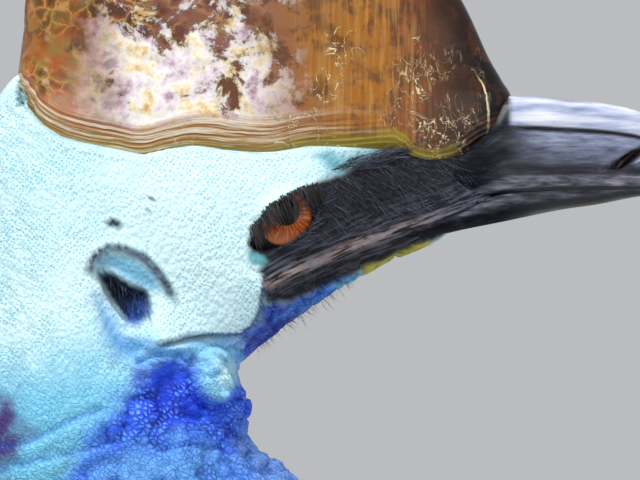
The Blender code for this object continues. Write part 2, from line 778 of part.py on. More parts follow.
def pad_mesh(name):
    rings = leg_rings(name)[SHANK_RINGS - 1 :]
    bm = loft(rings)
    across = (rings[0][3] - rings[0][0]).cross(rings[0][6] - rings[0][0]).normalized()
    if across.z > 0:
        across.negate()
    bmesh.ops.translate(bm, vec=across * GAP, verts=bm.verts)
    return bm


TOES = {
    "inner": {"turn": 34, "length": 0.100, "claw": 0.105, "thick": 0.0165, "end": 0.0105, "rise": 0.0120, "scutes": 4},
    "middle": {"turn": 1, "length": 0.172, "claw": 0.046, "thick": 0.0195, "end": 0.0095, "rise": 0.0150, "scutes": 7},
    "outer": {"turn": -31, "length": 0.132, "claw": 0.036, "thick": 0.0165, "end": 0.0085, "rise": 0.0132, "scutes": 5},
}
SOLE_SHARE = 0.86
CLAW_ROOT = 0.005


def toe_direction(name, which):
    """Unit vector of a toe on the floor: the inner toe turns towards the other foot."""
    turn = math.radians(TOES[which]["turn"]) * -SIDES[name]
    return Vector((math.cos(turn), math.sin(turn), 0))


def toe_mesh(name, which):
    """One toe, its scutes raised as bands over the top."""
    sizes = TOES[which]
    ahead = toe_direction(name, which)
    foot = foot_centre(name)
    steps = [(0.0, 0.0)] + [(0.24 + 0.76 * share, high) for share, high in scute_steps(sizes["scutes"])]
    path, thick = [], []
    for t, high in steps:
        swell = 1 + 0.05 * math.sin(t * 3 * 2 * math.pi)
        thick.append((sizes["thick"] + (sizes["end"] - sizes["thick"]) * t) * swell)
        height = thick[-1] * SOLE_SHARE + sizes["rise"] * (1 - t) ** 2
        path.append(foot + ahead * (sizes["length"] * t) + Vector((0, 0, height)))
    rings = tube_rings(path, thick, thick, 7)
    for ring, point, (t, high) in zip(rings, path, steps):
        for corner in ring:
            if corner.z > point.z:
                corner.z += SCUTE_RISE * 0.7 * high
    return loft(rings)


def claw_mesh(name, which):
    """One claw, its root held in the end of its toe."""
    sizes = TOES[which]
    ahead = toe_direction(name, which)
    height = sizes["end"] * SOLE_SHARE
    start = foot_centre(name) + ahead * (sizes["length"] - CLAW_ROOT)
    path, across, upright = [], [], []
    for i in range(6):
        t = i / 5
        rise = 0.004 * math.sin(math.pi * t) * sizes["claw"] / 0.1
        low = (height - 0.0035) * t**1.6
        path.append(start + ahead * ((sizes["claw"] + CLAW_ROOT) * t) + Vector((0, 0, height - low + rise)))
        radius = sizes["end"] * 0.80 * (1 - t) ** 0.8 + 0.0012
        across.append(radius * 0.85)
        upright.append(min(radius, path[-1].z - 0.0004))
    return tube(path, across, upright, 6)


def foot(name):
    """The pad and three toes, flat underneath and hollowed for the claws."""
    obj = new_object("foot_" + name, pad_mesh(name), "scale")
    fuse(obj, [toe_mesh(name, which) for which in TOES])
    cut(obj, [slab_below(0)] + [grown(claw_mesh(name, which)) for which in TOES])
    for which in TOES:
        new_object(f"claw_{which}_{name}", claw_mesh(name, which), "claw")


def plumage_body():
    """Torso and rump, parted by a thin cut, each with its locks."""
    point, rearward = tail_plane()
    thighs = [grown(thigh_mesh(name)) for name in SIDES]
    envelopes = [BVHTree.FromBMesh(thigh) for thigh in thighs]
    front = loft(torso_rings(15))
    rear = front.copy()
    keep_side(front, point, -rearward)
    keep_side(rear, point + rearward * GAP, rearward)
    torso = new_object("torso", front, "plumage")
    fuse(torso, lock_rows(TORSO_LOCKS, envelopes))
    for name in SIDES:
        arm, quills = wing_pieces(name)
        thighs += [grown(piece) for piece in [arm] + quills + thigh_locks(name)]
    cut(torso, thighs)
    tail = new_object("tail", rear, "plumage")
    fuse(tail, lock_rows(TAIL_LOCKS))


WING = {"quills": 5, "length": 0.25, "thick": 0.0030, "out": 0.038, "arm_out": 0.026}


def wing_pieces(name):
    """The small wing: a flat arm against the flank and its bare quills, which curve down and back."""
    side = SIDES[name]
    rows = smoothed(TORSO_SECTIONS, 60)
    path = []
    for x, z in ((0.150, 1.000), (0.120, 0.992), (0.080, 0.975), (0.045, 0.952), (0.020, 0.930)):
        path.append(Vector((x, side * (side_reach(rows, BODY_POWER, x, z, 0.15) + WING["arm_out"]), z)))
    arm = tube(path, [0.010, 0.014, 0.014, 0.012, 0.008], [0.016, 0.026, 0.026, 0.022, 0.012], 8)
    quills = []
    for number in range(WING["quills"]):
        quill, radius = [], []
        length = WING["length"] * (1 + 0.10 * math.sin(number * 1.9))
        for i in range(6):
            t = i / 5
            x = 0.070 - 0.015 * number - length * (0.70 * t - 0.16 * t * t)
            z = 0.975 - 0.010 * number - length * (0.22 * t + 0.62 * t * t) * (0.85 + 0.08 * number)
            y = side_reach(rows, BODY_POWER, x, z, 0.15) + WING["arm_out"] + WING["out"] * math.sin(math.pi * t / 2)
            quill.append(Vector((x, side * (y + 0.0015 * (number % 2)), z)))
            radius.append(WING["thick"] * (1 - 0.7 * t))
        quills.append(tube(quill, radius, radius, 4))
    return arm, quills


def wing(name):
    arm, quills = wing_pieces(name)
    obj = new_object("wing_" + name, arm, "plumage")
    fuse(obj, quills)


def settle():
    """Puts the origin under the middle of the whole box, and each piece's own at its middle."""
    stand = bpy.data.objects.new("cassowary", None)
    bpy.context.scene.collection.objects.link(stand)
    pieces = [obj for obj in bpy.data.objects if obj.type == "MESH"]
    corners = np.array([corner.co for obj in pieces for corner in obj.data.vertices])
    low, high = corners.min(0), corners.max(0)
    foot_of_box = Vector(((low[0] + high[0]) / 2, (low[1] + high[1]) / 2, low[2]))
    for obj in pieces:
        corners = np.array([corner.co for corner in obj.data.vertices])
        middle = Vector((corners.min(0) + corners.max(0)) / 2)
        obj.data.transform(Matrix.Translation(-middle))
        obj.location = middle - foot_of_box
        obj.parent = stand
        obj.data.shade_smooth()
        obj.data.set_sharp_from_angle(angle=math.radians(40))


def main():
    clear_scene()
    new_object("casque", casque_mesh(), "horn")
    head()
    bill()
    eyes()
    neck()
    wattles()
    plumage_body()
    for name in SIDES:
        wing(name)
        thigh(name)
        new_object("shank_" + name, shank_mesh(name), "scale")
        foot(name)
    settle()


main()
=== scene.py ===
import json
import math

import bmesh
import bpy
import numpy as np
from mathutils import Matrix, Vector

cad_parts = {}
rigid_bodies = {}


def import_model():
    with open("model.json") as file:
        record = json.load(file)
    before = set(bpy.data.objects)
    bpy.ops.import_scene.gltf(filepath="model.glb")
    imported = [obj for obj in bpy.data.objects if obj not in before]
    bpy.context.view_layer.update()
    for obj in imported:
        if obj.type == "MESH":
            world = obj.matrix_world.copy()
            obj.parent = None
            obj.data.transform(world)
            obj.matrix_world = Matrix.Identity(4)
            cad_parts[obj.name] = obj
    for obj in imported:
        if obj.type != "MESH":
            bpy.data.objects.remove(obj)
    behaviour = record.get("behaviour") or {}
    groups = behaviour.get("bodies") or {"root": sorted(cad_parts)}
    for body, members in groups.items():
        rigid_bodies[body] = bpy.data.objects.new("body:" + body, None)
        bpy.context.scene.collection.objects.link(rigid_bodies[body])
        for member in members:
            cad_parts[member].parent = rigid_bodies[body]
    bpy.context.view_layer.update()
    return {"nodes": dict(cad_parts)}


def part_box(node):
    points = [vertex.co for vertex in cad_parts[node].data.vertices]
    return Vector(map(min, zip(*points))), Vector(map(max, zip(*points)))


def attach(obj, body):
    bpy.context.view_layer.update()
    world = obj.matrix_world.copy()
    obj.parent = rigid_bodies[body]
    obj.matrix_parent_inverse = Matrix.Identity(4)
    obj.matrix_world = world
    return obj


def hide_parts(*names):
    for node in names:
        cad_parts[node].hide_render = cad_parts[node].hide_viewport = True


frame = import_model()
eyeLow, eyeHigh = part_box("eye_right")
eyeX, eyeZ = (eyeLow.x + eyeHigh.x) / 2, (eyeLow.z + eyeHigh.z) / 2
eyeCentre = np.array([eyeX, 0, eyeZ])  # everything is placed from the eye
bpy.context.scene.view_settings.view_transform = "Standard"


def spot(u, v):  # side view of the right profile, in steps of 0.285 mm right and down, eye at 284, 218
    return np.array([(u - 284) * 0.000285, (218 - v) * 0.000285])


def spots(points):
    return np.array([spot(u, v) for u, v in points])


def curveAt(rows, stations):  # smooth curve through rows, at many stations at once
    rows = np.array(rows, float)
    ends = np.vstack([2 * rows[0] - rows[1], rows, 2 * rows[-1] - rows[-2]])
    stations = np.clip(np.asarray(stations, float), 0, len(rows) - 1)
    i = np.minimum(stations.astype(int), len(rows) - 2)
    t = (stations - i)[:, None]
    a, b, c, d = ends[i], ends[i + 1], ends[i + 2], ends[i + 3]
    return 0.5 * (2 * b + (c - a) * t + (2 * a - 5 * b + 4 * c - d) * t ** 2 + (3 * b - a - 3 * c + d) * t ** 3)


def smooth(low, high, value):
    t = np.clip((value - low) / (high - low), 0, 1)
    return t * t * (3 - 2 * t)


def hashed(i, j, k, seed):  # one fixed number from 0 to 1 for each cell
    n = (i * 374761393 + j * 668265263 + k * 2147483647 + seed * 144665) & 0xFFFFFFFF
    n = ((n ^ (n >> 13)) * 1274126177) & 0xFFFFFFFF
    return ((n ^ (n >> 16)) & 0xFFFF) / 65535.0


def valueNoise(points, size, seed=0):  # smooth noise from 0 to 1, one lump each size metres
    p = np.asarray(points, float) / size + 1000
    base = np.floor(p).astype(np.int64)
    f = p - base
    f = f * f * (3 - 2 * f)
    total = 0
    for a in (0, 1):
        for b in (0, 1):
            for c in (0, 1):
                w = (f[:, 0] if a else 1 - f[:, 0]) * (f[:, 1] if b else 1 - f[:, 1]) * (f[:, 2] if c else 1 - f[:, 2])
                total = total + w * hashed(base[:, 0] + a, base[:, 1] + b, base[:, 2] + c, seed)
    return total


def lumps(points, size, octaves=3, seed=0):  # noise with finer noise on it, from 0 to 1
    total, share, whole = 0, 1.0, 0
    for octave in range(octaves):
        total = total + share * valueNoise(points, size / 2 ** octave, seed + octave)
        whole += share
        share *= 0.5
    return total / whole


def lineDistance(points, line, closed=False):  # distance of side view points to a polyline
    best = np.full(len(points), 1e9)
    ends = list(zip(line[:-1], line[1:])) + ([(line[-1], line[0])] if closed else [])
    for a, b in ends:
        ab = b - a
        t = np.clip(((points - a) @ ab) / max(ab @ ab, 1e-12), 0, 1)
        best = np.minimum(best, np.linalg.norm(points - (a + t[:, None] * ab), axis=1))
    return best


def inside(points, shape):  # negative inside a closed outline, positive outside
    crossing = np.zeros(len(points), bool)
    for a, b in zip(shape, np.roll(shape, -1, axis=0)):
        spans = (a[1] > points[:, 1]) != (b[1] > points[:, 1])
        x = a[0] + (points[:, 1] - a[1]) * (b[0] - a[0]) / (b[1] - a[1] if b[1] != a[1] else 1e-12)
        crossing ^= spans & (points[:, 0] < x)
    return np.where(crossing, -1, 1) * lineDistance(points, shape, True)


def loft(rings):  # closed mesh: a cap extruded from ring to ring
    bm = bmesh.new()
    bmesh.ops.create_circle(bm, cap_ends=True, segments=len(rings[0]), radius=1)
    bm.faces.ensure_lookup_table()
    cap = bm.faces[0]
    for corner, point in zip(cap.verts, rings[0]):
        corner.co = point
    for number, ring in enumerate(rings[1:]):
        made = bmesh.ops.extrude_face_region(bm, geom=[cap])["geom"]
        if number:
            bm.faces.remove(cap)
        cap = next(g for g in made if isinstance(g, bmesh.types.BMFace))
        for corner, point in zip(cap.verts, ring):
            corner.co = point
    return outward(bm)


def outward(bm):  # all faces point away from the inside
    bmesh.ops.recalc_face_normals(bm, faces=bm.faces)
    if bm.calc_volume(signed=True) < 0:
        bmesh.ops.reverse_faces(bm, faces=bm.faces)
    return bm


def tubeRings(path, across, upright, sides):  # oval rings square to a path
    path, rings = [Vector(p) for p in path], []
    for i, point in enumerate(path):
        ahead = (path[min(i + 1, len(path) - 1)] - path[max(i - 1, 0)]).normalized()
        side = (Vector((0, 1, 0)) - ahead * ahead.y).normalized()
        up = ahead.cross(side).normalized()
        ring = []
        for k in range(sides):
            angle = 2 * math.pi * k / sides
            ring.append(point + side * (across[i] * math.sin(angle)) + up * (upright[i] * math.cos(angle)))
        rings.append(ring)
    return rings


def piece(name, bm, finish, replaced):
    mesh = bpy.data.meshes.new(name)
    bm.to_mesh(mesh)
    bm.free()
    obj = bpy.data.objects.new(name, mesh)
    bpy.context.scene.collection.objects.link(obj)
    mesh.materials.append(finish)
    mesh.shade_smooth()
    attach(obj, "root")
    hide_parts(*replaced)
    return obj


def cornersOf(obj):
    co = np.empty(len(obj.data.vertices) * 3)
    obj.data.vertices.foreach_get("co", co)
    return co.reshape(-1, 3)


def normalsOf(obj):
    co = np.empty(len(obj.data.vertices) * 3)
    obj.data.vertex_normals.foreach_get("vector", co)
    return co.reshape(-1, 3)


def oneSided(co):  # left and right corners at the same places
    return np.c_[co[:, 0], np.abs(co[:, 1]), co[:, 2]]


def bell(distance, width, at=0.0):  # 1 at the given distance, gone a few widths from it
    return np.exp(-((distance - at) / width) ** 2)


def tinted(colour, share, shade):
    return colour * (1 - share[:, None]) + np.array(shade) * share[:, None]


def moveTo(obj, co):
    obj.data.vertices.foreach_set("co", np.ascontiguousarray(co, dtype=np.float64).ravel())
    obj.data.update()


def store(obj, name, values):  # one number or one colour for each corner
    values = np.asarray(values, np.float32)
    if values.ndim == 1:
        layer = obj.data.attributes.new(name, "FLOAT", "POINT")
        layer.data.foreach_set("value", values)
    else:
        layer = obj.data.attributes.new(name, "FLOAT_COLOR", "POINT")
        full = np.ones((len(values), 4), np.float32)
        full[:, :3] = values
        layer.data.foreach_set("color", full.ravel())


def add(tree, kind, inputs=None, **settings):
    made = tree.nodes.new("ShaderNode" + kind)
    for key, value in settings.items():
        setattr(made, key, value)
    for key, value in (inputs or {}).items():
        if isinstance(value, bpy.types.NodeSocket):
            tree.links.new(value, made.inputs[key])
        else:
            made.inputs[key].default_value = value
    return made


def stored(tree, name, output="Fac"):
    return add(tree, "Attribute", attribute_name=name).outputs[output]


def calc(tree, operation, a, b=0.0):
    return add(tree, "Math", {0: a, 1: b}, operation=operation).outputs[0]


def times(tree, a, b):
    return calc(tree, "MULTIPLY", a, b)


def plus(tree, a, b):
    return calc(tree, "ADD", a, b)


def minus(tree, a, b):
    return calc(tree, "SUBTRACT", a, b)


def ramp(tree, value, stops):
    made = add(tree, "ValToRGB", {"Fac": value})
    points = made.color_ramp.elements
    while len(points) < len(stops):
        points.new(0.5)
    for point, (place, colour) in zip(points, stops):
        point.position = place
        point.color = (*colour, 1) if isinstance(colour, tuple) else (colour, colour, colour, 1)
    return made.outputs["Color"]


def blendColour(tree, share, a, b, how="MIX"):
    made = add(tree, "Mix", data_type="RGBA", blend_type=how)
    for key, value in ((0, share), (6, a), (7, b)):
        if isinstance(value, bpy.types.NodeSocket):
            tree.links.new(value, made.inputs[key])
        else:
            made.inputs[key].default_value = (*value, 1) if isinstance(value, tuple) else value
    return made.outputs[2]


def noiseAt(tree, where, scale, detail=3.0, rough=0.55, distortion=0.0):
    return add(tree, "TexNoise", {"Vector": where, "Scale": scale, "Detail": detail, "Roughness": rough,
                                  "Distortion": distortion}).outputs["Fac"]


def cells(tree, where, scale, feature="F1", random=1.0, flat="3D"):
    return add(tree, "TexVoronoi", {"Vector": where, "Scale": scale, "Randomness": random},
               feature=feature, voronoi_dimensions=flat).outputs["Distance"]


def stretched(tree, where, scale, turn=(0, 0, 0)):  # scaled first, then turned
    return add(tree, "Mapping", {"Vector": where, "Scale": scale, "Rotation": turn}).outputs[0]


def span(tree, value, low, high):  # 0 at low, 1 at high, for steps too small for a ramp
    return add(tree, "MapRange", {"Value": value, "From Min": low, "From Max": high}).outputs[0]


def bump(tree, height, strength, distance):
    return add(tree, "Bump", {"Height": height, "Strength": strength, "Distance": distance}).outputs[0]


def newGroup(name, inputs, output):  # a shader node group, what goes into it and where its result goes
    group = bpy.data.node_groups.new(name, "ShaderNodeTree")
    for label, value in inputs.items():
        kind = "NodeSocketVector" if isinstance(value, tuple) else "NodeSocketFloat"
        group.interface.new_socket(label, in_out="INPUT", socket_type=kind).default_value = value
    group.interface.new_socket(output, in_out="OUTPUT", socket_type="NodeSocketFloat")
    return group, group.nodes.new("NodeGroupInput").outputs, group.nodes.new("NodeGroupOutput").inputs[0]


def buildThinLine():  # 1 where a value passes its centre, fading out on both sides
    group, given, line = newGroup("thinLine", {"Value": 0.0, "Centre": 0.5, "Outer": 0.02, "Inner": 0.0}, "Line")
    far = calc(group, "ABSOLUTE", minus(group, given["Value"], given["Centre"]))
    group.links.new(span(group, far, given["Outer"], given["Inner"]), line)
    return group


def buildDrawnGrain():  # noise drawn out along one way, as horn and old skin grow
    group, given, grain = newGroup("drawnGrain", {
        "Vector": (0.0, 0.0, 0.0), "Scale": (1.0, 1.0, 1.0), "Turn": (0.0, 0.0, 0.0),
        "Detail": 4.0, "Roughness": 0.55, "Distortion": 0.0}, "Grain")
    drawn = stretched(group, given["Vector"], given["Scale"], given["Turn"])
    group.links.new(noiseAt(group, drawn, 1.0, given["Detail"], given["Roughness"], given["Distortion"]), grain)
    return group


thinLine, drawnGrain = buildThinLine(), buildDrawnGrain()


def lineIn(tree, value, centre, outer, inner):
    return add(tree, "Group", {"Value": value, "Centre": centre, "Outer": outer, "Inner": inner},
               node_tree=thinLine).outputs["Line"]


def grainIn(tree, where, scale, turn=(0, 0, 0), detail=4.0, rough=0.55, distortion=0.0):
    return add(tree, "Group", {"Vector": where, "Scale": scale, "Turn": turn, "Detail": detail, "Roughness": rough,
                               "Distortion": distortion}, node_tree=drawnGrain).outputs["Grain"]


def newMaterial(name, roughness=0.6):
    made = bpy.data.materials.new(name)
    made.use_nodes = True
    tree = made.node_tree
    shader = tree.nodes["Principled BSDF"]
    shader.inputs["Roughness"].default_value = roughness
    where = add(tree, "TexCoord").outputs["Object"]
    return made, tree, shader, where


def plug(tree, shader, **sockets):
    for key, value in sockets.items():
        name = {"colour": "Base Color", "rough": "Roughness", "normal": "Normal", "coat": "Coat Weight",
                "coatRough": "Coat Roughness", "spec": "Specular IOR Level"}[key]
        if isinstance(value, bpy.types.NodeSocket):
            tree.links.new(value, shader.inputs[name])
        else:
            shader.inputs[name].default_value = (*value, 1) if isinstance(value, tuple) else value


print("helpers ready")

skinSizes = {
    "headRings": 190, "neckRings": 90, "torsoRings": 60, "sides": 256, "bodyDepth": 0.006,
    "eyeTilt": math.radians(40), "eyeHalfLength": 0.0128, "lidUp": 0.0043, "lidDown": 0.0066,
    "globe": 0.0145, "globeY": 0.0180, "lidThick": 0.0010,
}

headRows = [  # top x, top z, bottom x, bottom z, half width, all from the eye
    (0.0600, 0.0200, 0.0605, 0.0030, 0.0070), (0.0510, 0.0225, 0.0533, -0.0005, 0.0138),
    (0.0430, 0.0240, 0.0447, -0.0060, 0.0172), (0.0333, 0.0262, 0.0333, -0.0114, 0.0195),
    (0.0234, 0.0285, 0.0234, -0.0162, 0.0225),
    (0.0134, 0.0305, 0.0148, -0.0211, 0.0265), (0.0020, 0.0319, 0.0063, -0.0268, 0.0295),
    (-0.0123, 0.0333, -0.0014, -0.0331, 0.0315), (-0.0294, 0.0353, -0.0071, -0.0371, 0.0330),
    (-0.0465, 0.0376, -0.0105, -0.0399, 0.0340), (-0.0636, 0.0405, -0.0123, -0.0422, 0.0340),
    (-0.0764, 0.0416, -0.0128, -0.0450, 0.0340), (-0.0849, 0.0305, -0.0123, -0.0485, 0.0345),
    (-0.0906, 0.0162, -0.0105, -0.0513, 0.0355), (-0.0941, -0.0009, -0.0097, -0.0542, 0.0370),
    (-0.0963, -0.0194, -0.0103, -0.0576, 0.0385),
]
neckRows = [
    (-0.0986, -0.0365, -0.0108, -0.0610, 0.0400), (-0.1012, -0.0536, -0.0088, -0.0650, 0.0410),
    (-0.1040, -0.0707, -0.0031, -0.0695, 0.0420), (-0.1069, -0.0878, 0.0048, -0.0764, 0.0420),
    (-0.1090, -0.1050, 0.0066, -0.0878, 0.0420), (-0.1140, -0.1400, -0.0020, -0.1250, 0.0410),
    (-0.1220, -0.1800, -0.0170, -0.1700, 0.0410), (-0.1340, -0.2300, -0.0320, -0.2250, 0.0420),
    (-0.1500, -0.2800, -0.0420, -0.2850, 0.0460), (-0.1750, -0.3250, -0.0480, -0.3500, 0.0540),
    (-0.2150, -0.3600, -0.0480, -0.4200, 0.0700),
]
torsoRows = [
    (-0.270, -0.380, -0.055, -0.500, 0.092), (-0.340, -0.395, -0.080, -0.580, 0.122),
    (-0.420, -0.405, -0.140, -0.670, 0.150), (-0.500, -0.415, -0.240, -0.740, 0.170),
    (-0.580, -0.425, -0.370, -0.785, 0.184), (-0.660, -0.440, -0.510, -0.805, 0.190),
    (-0.740, -0.465, -0.630, -0.810, 0.185), (-0.820, -0.500, -0.740, -0.805, 0.170),
    (-0.900, -0.550, -0.840, -0.788, 0.143), (-0.970, -0.610, -0.920, -0.765, 0.105),
    (-1.020, -0.670, -0.990, -0.735, 0.055),
]


def bodyRing(row, sides, power, inset=0.0):
    top, bottom = np.array([row[0], 0, row[1]]), np.array([row[2], 0, row[3]])
    centre, up = (top + bottom) / 2, (top - bottom) / np.linalg.norm(top - bottom)
    half = np.linalg.norm(top - bottom) / 2 - inset
    angle = 2 * np.pi * np.arange(sides) / sides
    c, s = np.cos(angle), np.sin(angle)
    c = np.sign(c) * np.abs(c) ** (2 / power)
    s = np.sign(s) * np.abs(s) ** (2 / power)
    ring = centre + up * (half * c)[:, None]
    ring[:, 1] += (row[4] - inset) * s
    return ring + eyeCentre


baseLine = spots([(27, 100), (29, 114), (41, 127), (61, 139), (82, 145), (114, 151), (143, 157), (168, 151), (194, 147),
                  (224, 151), (255, 154), (276, 153), (306, 147), (350, 145), (402, 141), (406, 151), (426, 160),
                  (447, 159), (463, 153), (475, 143), (493, 135), (508, 131)])
baseCurve = curveAt(np.c_[baseLine, np.zeros(len(baseLine))], np.linspace(0, len(baseLine) - 1, 240))


def casqueEdge(x):  # height of the casque's lower edge
    return sum(np.interp(x + step, baseCurve[:, 0], baseCurve[:, 1]) for step in (-0.0020, 0.0, 0.0020)) / 3


casqueRows = [  # height, rear x, front x, half width, from the eye
    (0.0140, -0.060, 0.058, 0.0225), (0.0185, -0.0715, 0.0634, 0.0280), (0.0215, -0.0742, 0.0644, 0.0300),
    (0.0270, -0.0756, 0.0649, 0.0298), (0.0345, -0.0766, 0.0650, 0.0288), (0.0400, -0.0768, 0.0625, 0.0278),
    (0.0470, -0.0764, 0.0588, 0.0264), (0.0633, -0.0744, 0.0512, 0.0240), (0.0850, -0.0725, 0.0375, 0.0205),
    (0.1080, -0.0715, 0.0210, 0.0175), (0.1300, -0.0690, 0.0040, 0.0140), (0.1500, -0.0620, -0.0130, 0.0100),
    (0.1630, -0.0530, -0.0270, 0.0060), (0.1680, -0.0450, -0.0370, 0.0028),
]


def casqueAcross(along, height):  # share of the half width: blunt behind low down, drawn to a keel in front
    blunt = 0.42 + 0.40 * smooth(0.022, 0.060, height)
    behind = np.sqrt(np.clip(4 * along * (1 - along), 0, 1))
    power = np.where(along < 0.5, blunt, 0.80)
    return behind ** power * (1 - 0.42 * along ** 1.6)


def casqueReach(side):  # how far out the casque stands at points of the side view
    table = curveAt(casqueRows, np.linspace(0, len(casqueRows) - 1, 200))
    level = side[:, 1] - (casqueEdge(side[:, 0]) - 0.0195) * smooth(0.040, 0.0215, side[:, 1])
    rear, front, half = (np.interp(level, table[:, 0], table[:, k]) for k in (1, 2, 3))
    along = np.clip((side[:, 0] - rear) / (front - rear), 0, 1)
    return half * casqueAcross(along, level)


def casqueSide():  # the casque's outline in the side view
    table = curveAt(casqueRows, np.linspace(2, len(casqueRows) - 1, 60))
    front = [(row[2], row[0]) for row in table if row[0] > 0.026]
    rear = [(row[1], row[0]) for row in table[::-1] if row[0] > 0.031]
    return np.vstack([baseLine[1:], front, rear])


def almond(sizes, grow=0.0, count=48):  # the eye's opening in the side view
    points = []
    for k in range(count):
        angle = 2 * math.pi * k / count
        c, s = math.cos(angle), math.sin(angle)
        high = sizes["lidUp"] if s > 0 else sizes["lidDown"]
        a = (sizes["eyeHalfLength"] + grow) * math.copysign(abs(c) ** 1.12, c)
        b = (high + grow) * math.copysign(abs(s) ** 1.12, s)
        t = sizes["eyeTilt"]
        points.append((a * math.cos(t) - b * math.sin(t), a * math.sin(t) + b * math.cos(t)))
    return np.array(points)


def globeReach(side, sizes):  # how far out the globe stands at points of the side view
    r2 = sizes["globe"] ** 2 - side[:, 0] ** 2 - side[:, 1] ** 2
    return sizes["globeY"] + np.sqrt(np.maximum(r2, 0)) - np.where(r2 > 0, 0, 0.02)


earHole = spots([(97, 273), (103, 270), (113, 272), (131, 284), (147, 290), (152, 302), (150, 314), (140, 322),
                 (126, 320), (112, 302), (103, 288)])
earRim = spots([(91, 268), (94, 259), (100, 253), (111, 247), (126, 249), (143, 256), (156, 269), (165, 282), (170, 292)])
cheekEdge = spots([(120, 350), (143, 348), (162, 343), (188, 336), (213, 333), (239, 333), (251, 324), (258, 308),
                   (261, 289)])
jowlFold = spots([(140, 362), (158, 354), (180, 356), (196, 366), (204, 380), (210, 392)])
earLow = spots([(106, 300), (114, 322), (124, 340), (140, 352)])
gapeRidge = spots([(262, 288), (274, 281), (298, 269), (319, 261), (350, 247), (389, 233), (420, 223), (463, 207),
                   (509, 192)])
jawLow = spots([(268, 299), (291, 297), (333, 281), (361, 270), (400, 254), (424, 244), (463, 226), (500, 214)])
neckFolds = [spots([(-20, 456), (0, 447), (27, 442), (61, 425), (86, 413), (104, 408)]),
             spots([(-20, 478), (0, 470), (41, 458), (82, 450), (114, 440), (135, 423), (134, 405)])]
eyeCrease = spots([(243, 262), (249, 270), (262, 273), (275, 268), (290, 258)])


headLines = [  # line, how far it is moved up, how far it stands out, its width
    (neckFolds[0], 0.0, -0.0012, 0.0011), (neckFolds[1], 0.0, -0.0012, 0.0011),
    (neckFolds[0], -0.0028, 0.0008, 0.0020), (neckFolds[1], -0.0028, 0.0008, 0.0020),
    (jowlFold, 0.0, -0.0022, 0.0010), (earLow, 0.0, -0.0016, 0.0030), (eyeCrease, 0.0, -0.0009, 0.0008),
    (gapeRidge, 0.0, 0.0016, 0.0013), (gapeRidge, -0.0030, -0.0012, 0.0011),
    (jawLow, 0.0018, 0.0010, 0.0016), (jawLow, 0.0, -0.0014, 0.0008),
]


def shapeHead(co, normal):  # moves the head's corners, given from the eye, into its folds
    sizes = skinSizes
    side = co[:, [0, 2]]
    sideways = smooth(0.25, 0.75, np.abs(normal[:, 1]))
    push = np.zeros(len(co))
    for line, up, out, width in headLines:
        push += out * bell(lineDistance(side, line + np.array([0, up])), width) * sideways
    lumpy = lumps(oneSided(co), 0.010, 3, 5) - 0.5
    # cheek: a soft plate that ends in a lip over the throat
    cheek = inside(side, np.vstack([cheekEdge, spots([(300, 250), (250, 180), (100, 160), (0, 200), (0, 330),
                                                      (60, 352)])]))
    lip = lineDistance(side, cheekEdge[2:])
    push += 0.0022 * smooth(0.0008, -0.0008, cheek) * bell(lip, 0.0085) * sideways
    push -= 0.0030 * bell(lip, 0.0014, 0.0004) * sideways * smooth(-0.0002, 0.0004, cheek)
    # loose blue skin of the throat
    bulb = np.linalg.norm((side - spot(215, 376)) / np.array([0.0066, 0.0086]), axis=1)
    throat = throatShare(side) * smooth(0.8, 1.25, bulb)
    push += throat * (0.0046 * lumpy - 0.0020 * puckers(co)) * smooth(0, 0.4, np.abs(normal[:, 1]) + 0.2)
    push += 0.0020 * bell(lineDistance(side, jowlFold), 0.0016, 0.0016) * sideways
    push += 0.0062 * np.sqrt(np.clip(1 - bulb ** 2, 0, 1)) * sideways
    push -= 0.0020 * bell(bulb, 0.12, 1.10) * sideways * smooth(0.004, -0.002, side[:, 1] - spot(0, 366)[1])
    ridge = np.linalg.norm((side - spot(176, 345)) / np.array([0.0100, 0.0026]), axis=1)
    push += 0.0014 * np.sqrt(np.clip(1 - ridge ** 2, 0, 1)) * sideways
    # ear: a cup under an arching hood
    hole, rim = inside(side, earHole), lineDistance(side, earRim)
    push += 0.0024 * bell(rim, 0.0011, 0.0002) * sideways
    push -= 0.0014 * smooth(0.0050, 0.0010, hole) * smooth(0.0006, 0.0022, rim) * sideways
    push -= 0.0085 * smooth(0.0006, -0.0022, hole) * sideways
    push += 0.0008 * bell(hole, 0.0007, 0.0009) * sideways
    # soft wrinkles of nape and cheek
    push += 0.0005 * lumpy * (1 - throat)
    moved = co + normal * push[:, None]
    # lids over the globe
    edge = inside(side, almond(sizes))
    globe = globeReach(side, sizes)
    y = np.abs(moved[:, 1])
    facing = np.abs(normal[:, 1]) > 0.2
    over = globe + sizes["lidThick"] + 0.0009 * bell(edge, 0.0010, 0.0011)
    near = smooth(0.0095, 0.0, edge)
    y = np.where(facing & (edge >= 0), np.maximum(y, over * near + y * (1 - near)), y)
    y = np.where(facing & (edge < 0), np.minimum(y, over - 0.0045 * smooth(0, 0.0010, -edge)), y)
    # the top of the head stays inside the casque
    within = inside(side, casqueSide())
    tuck = smooth(0.0002, -0.0014, within)
    y = y * (1 - tuck) + np.minimum(y, np.maximum(casqueReach(side) - 0.0030, 0.0005)) * tuck
    y = y + 0.0006 * bell(within, 0.0010, 0.0012) * sideways
    moved[:, 1] = np.sign(moved[:, 1]) * y
    return moved


def puckers(co):  # 1 in the creases of the loose skin
    place = oneSided(co)
    swayed = place + 0.004 * (lumps(place, 0.012, 2, 40) - 0.5)[:, None]
    wide = np.abs(2 * valueNoise(swayed, 0.0068, 9) - 1)
    small = np.abs(2 * valueNoise(swayed * np.array([1, 1, 1.5]), 0.0032, 19) - 1)
    return np.clip(smooth(0.22, 0.0, wide) + 0.6 * smooth(0.20, 0.0, small), 0, 1)


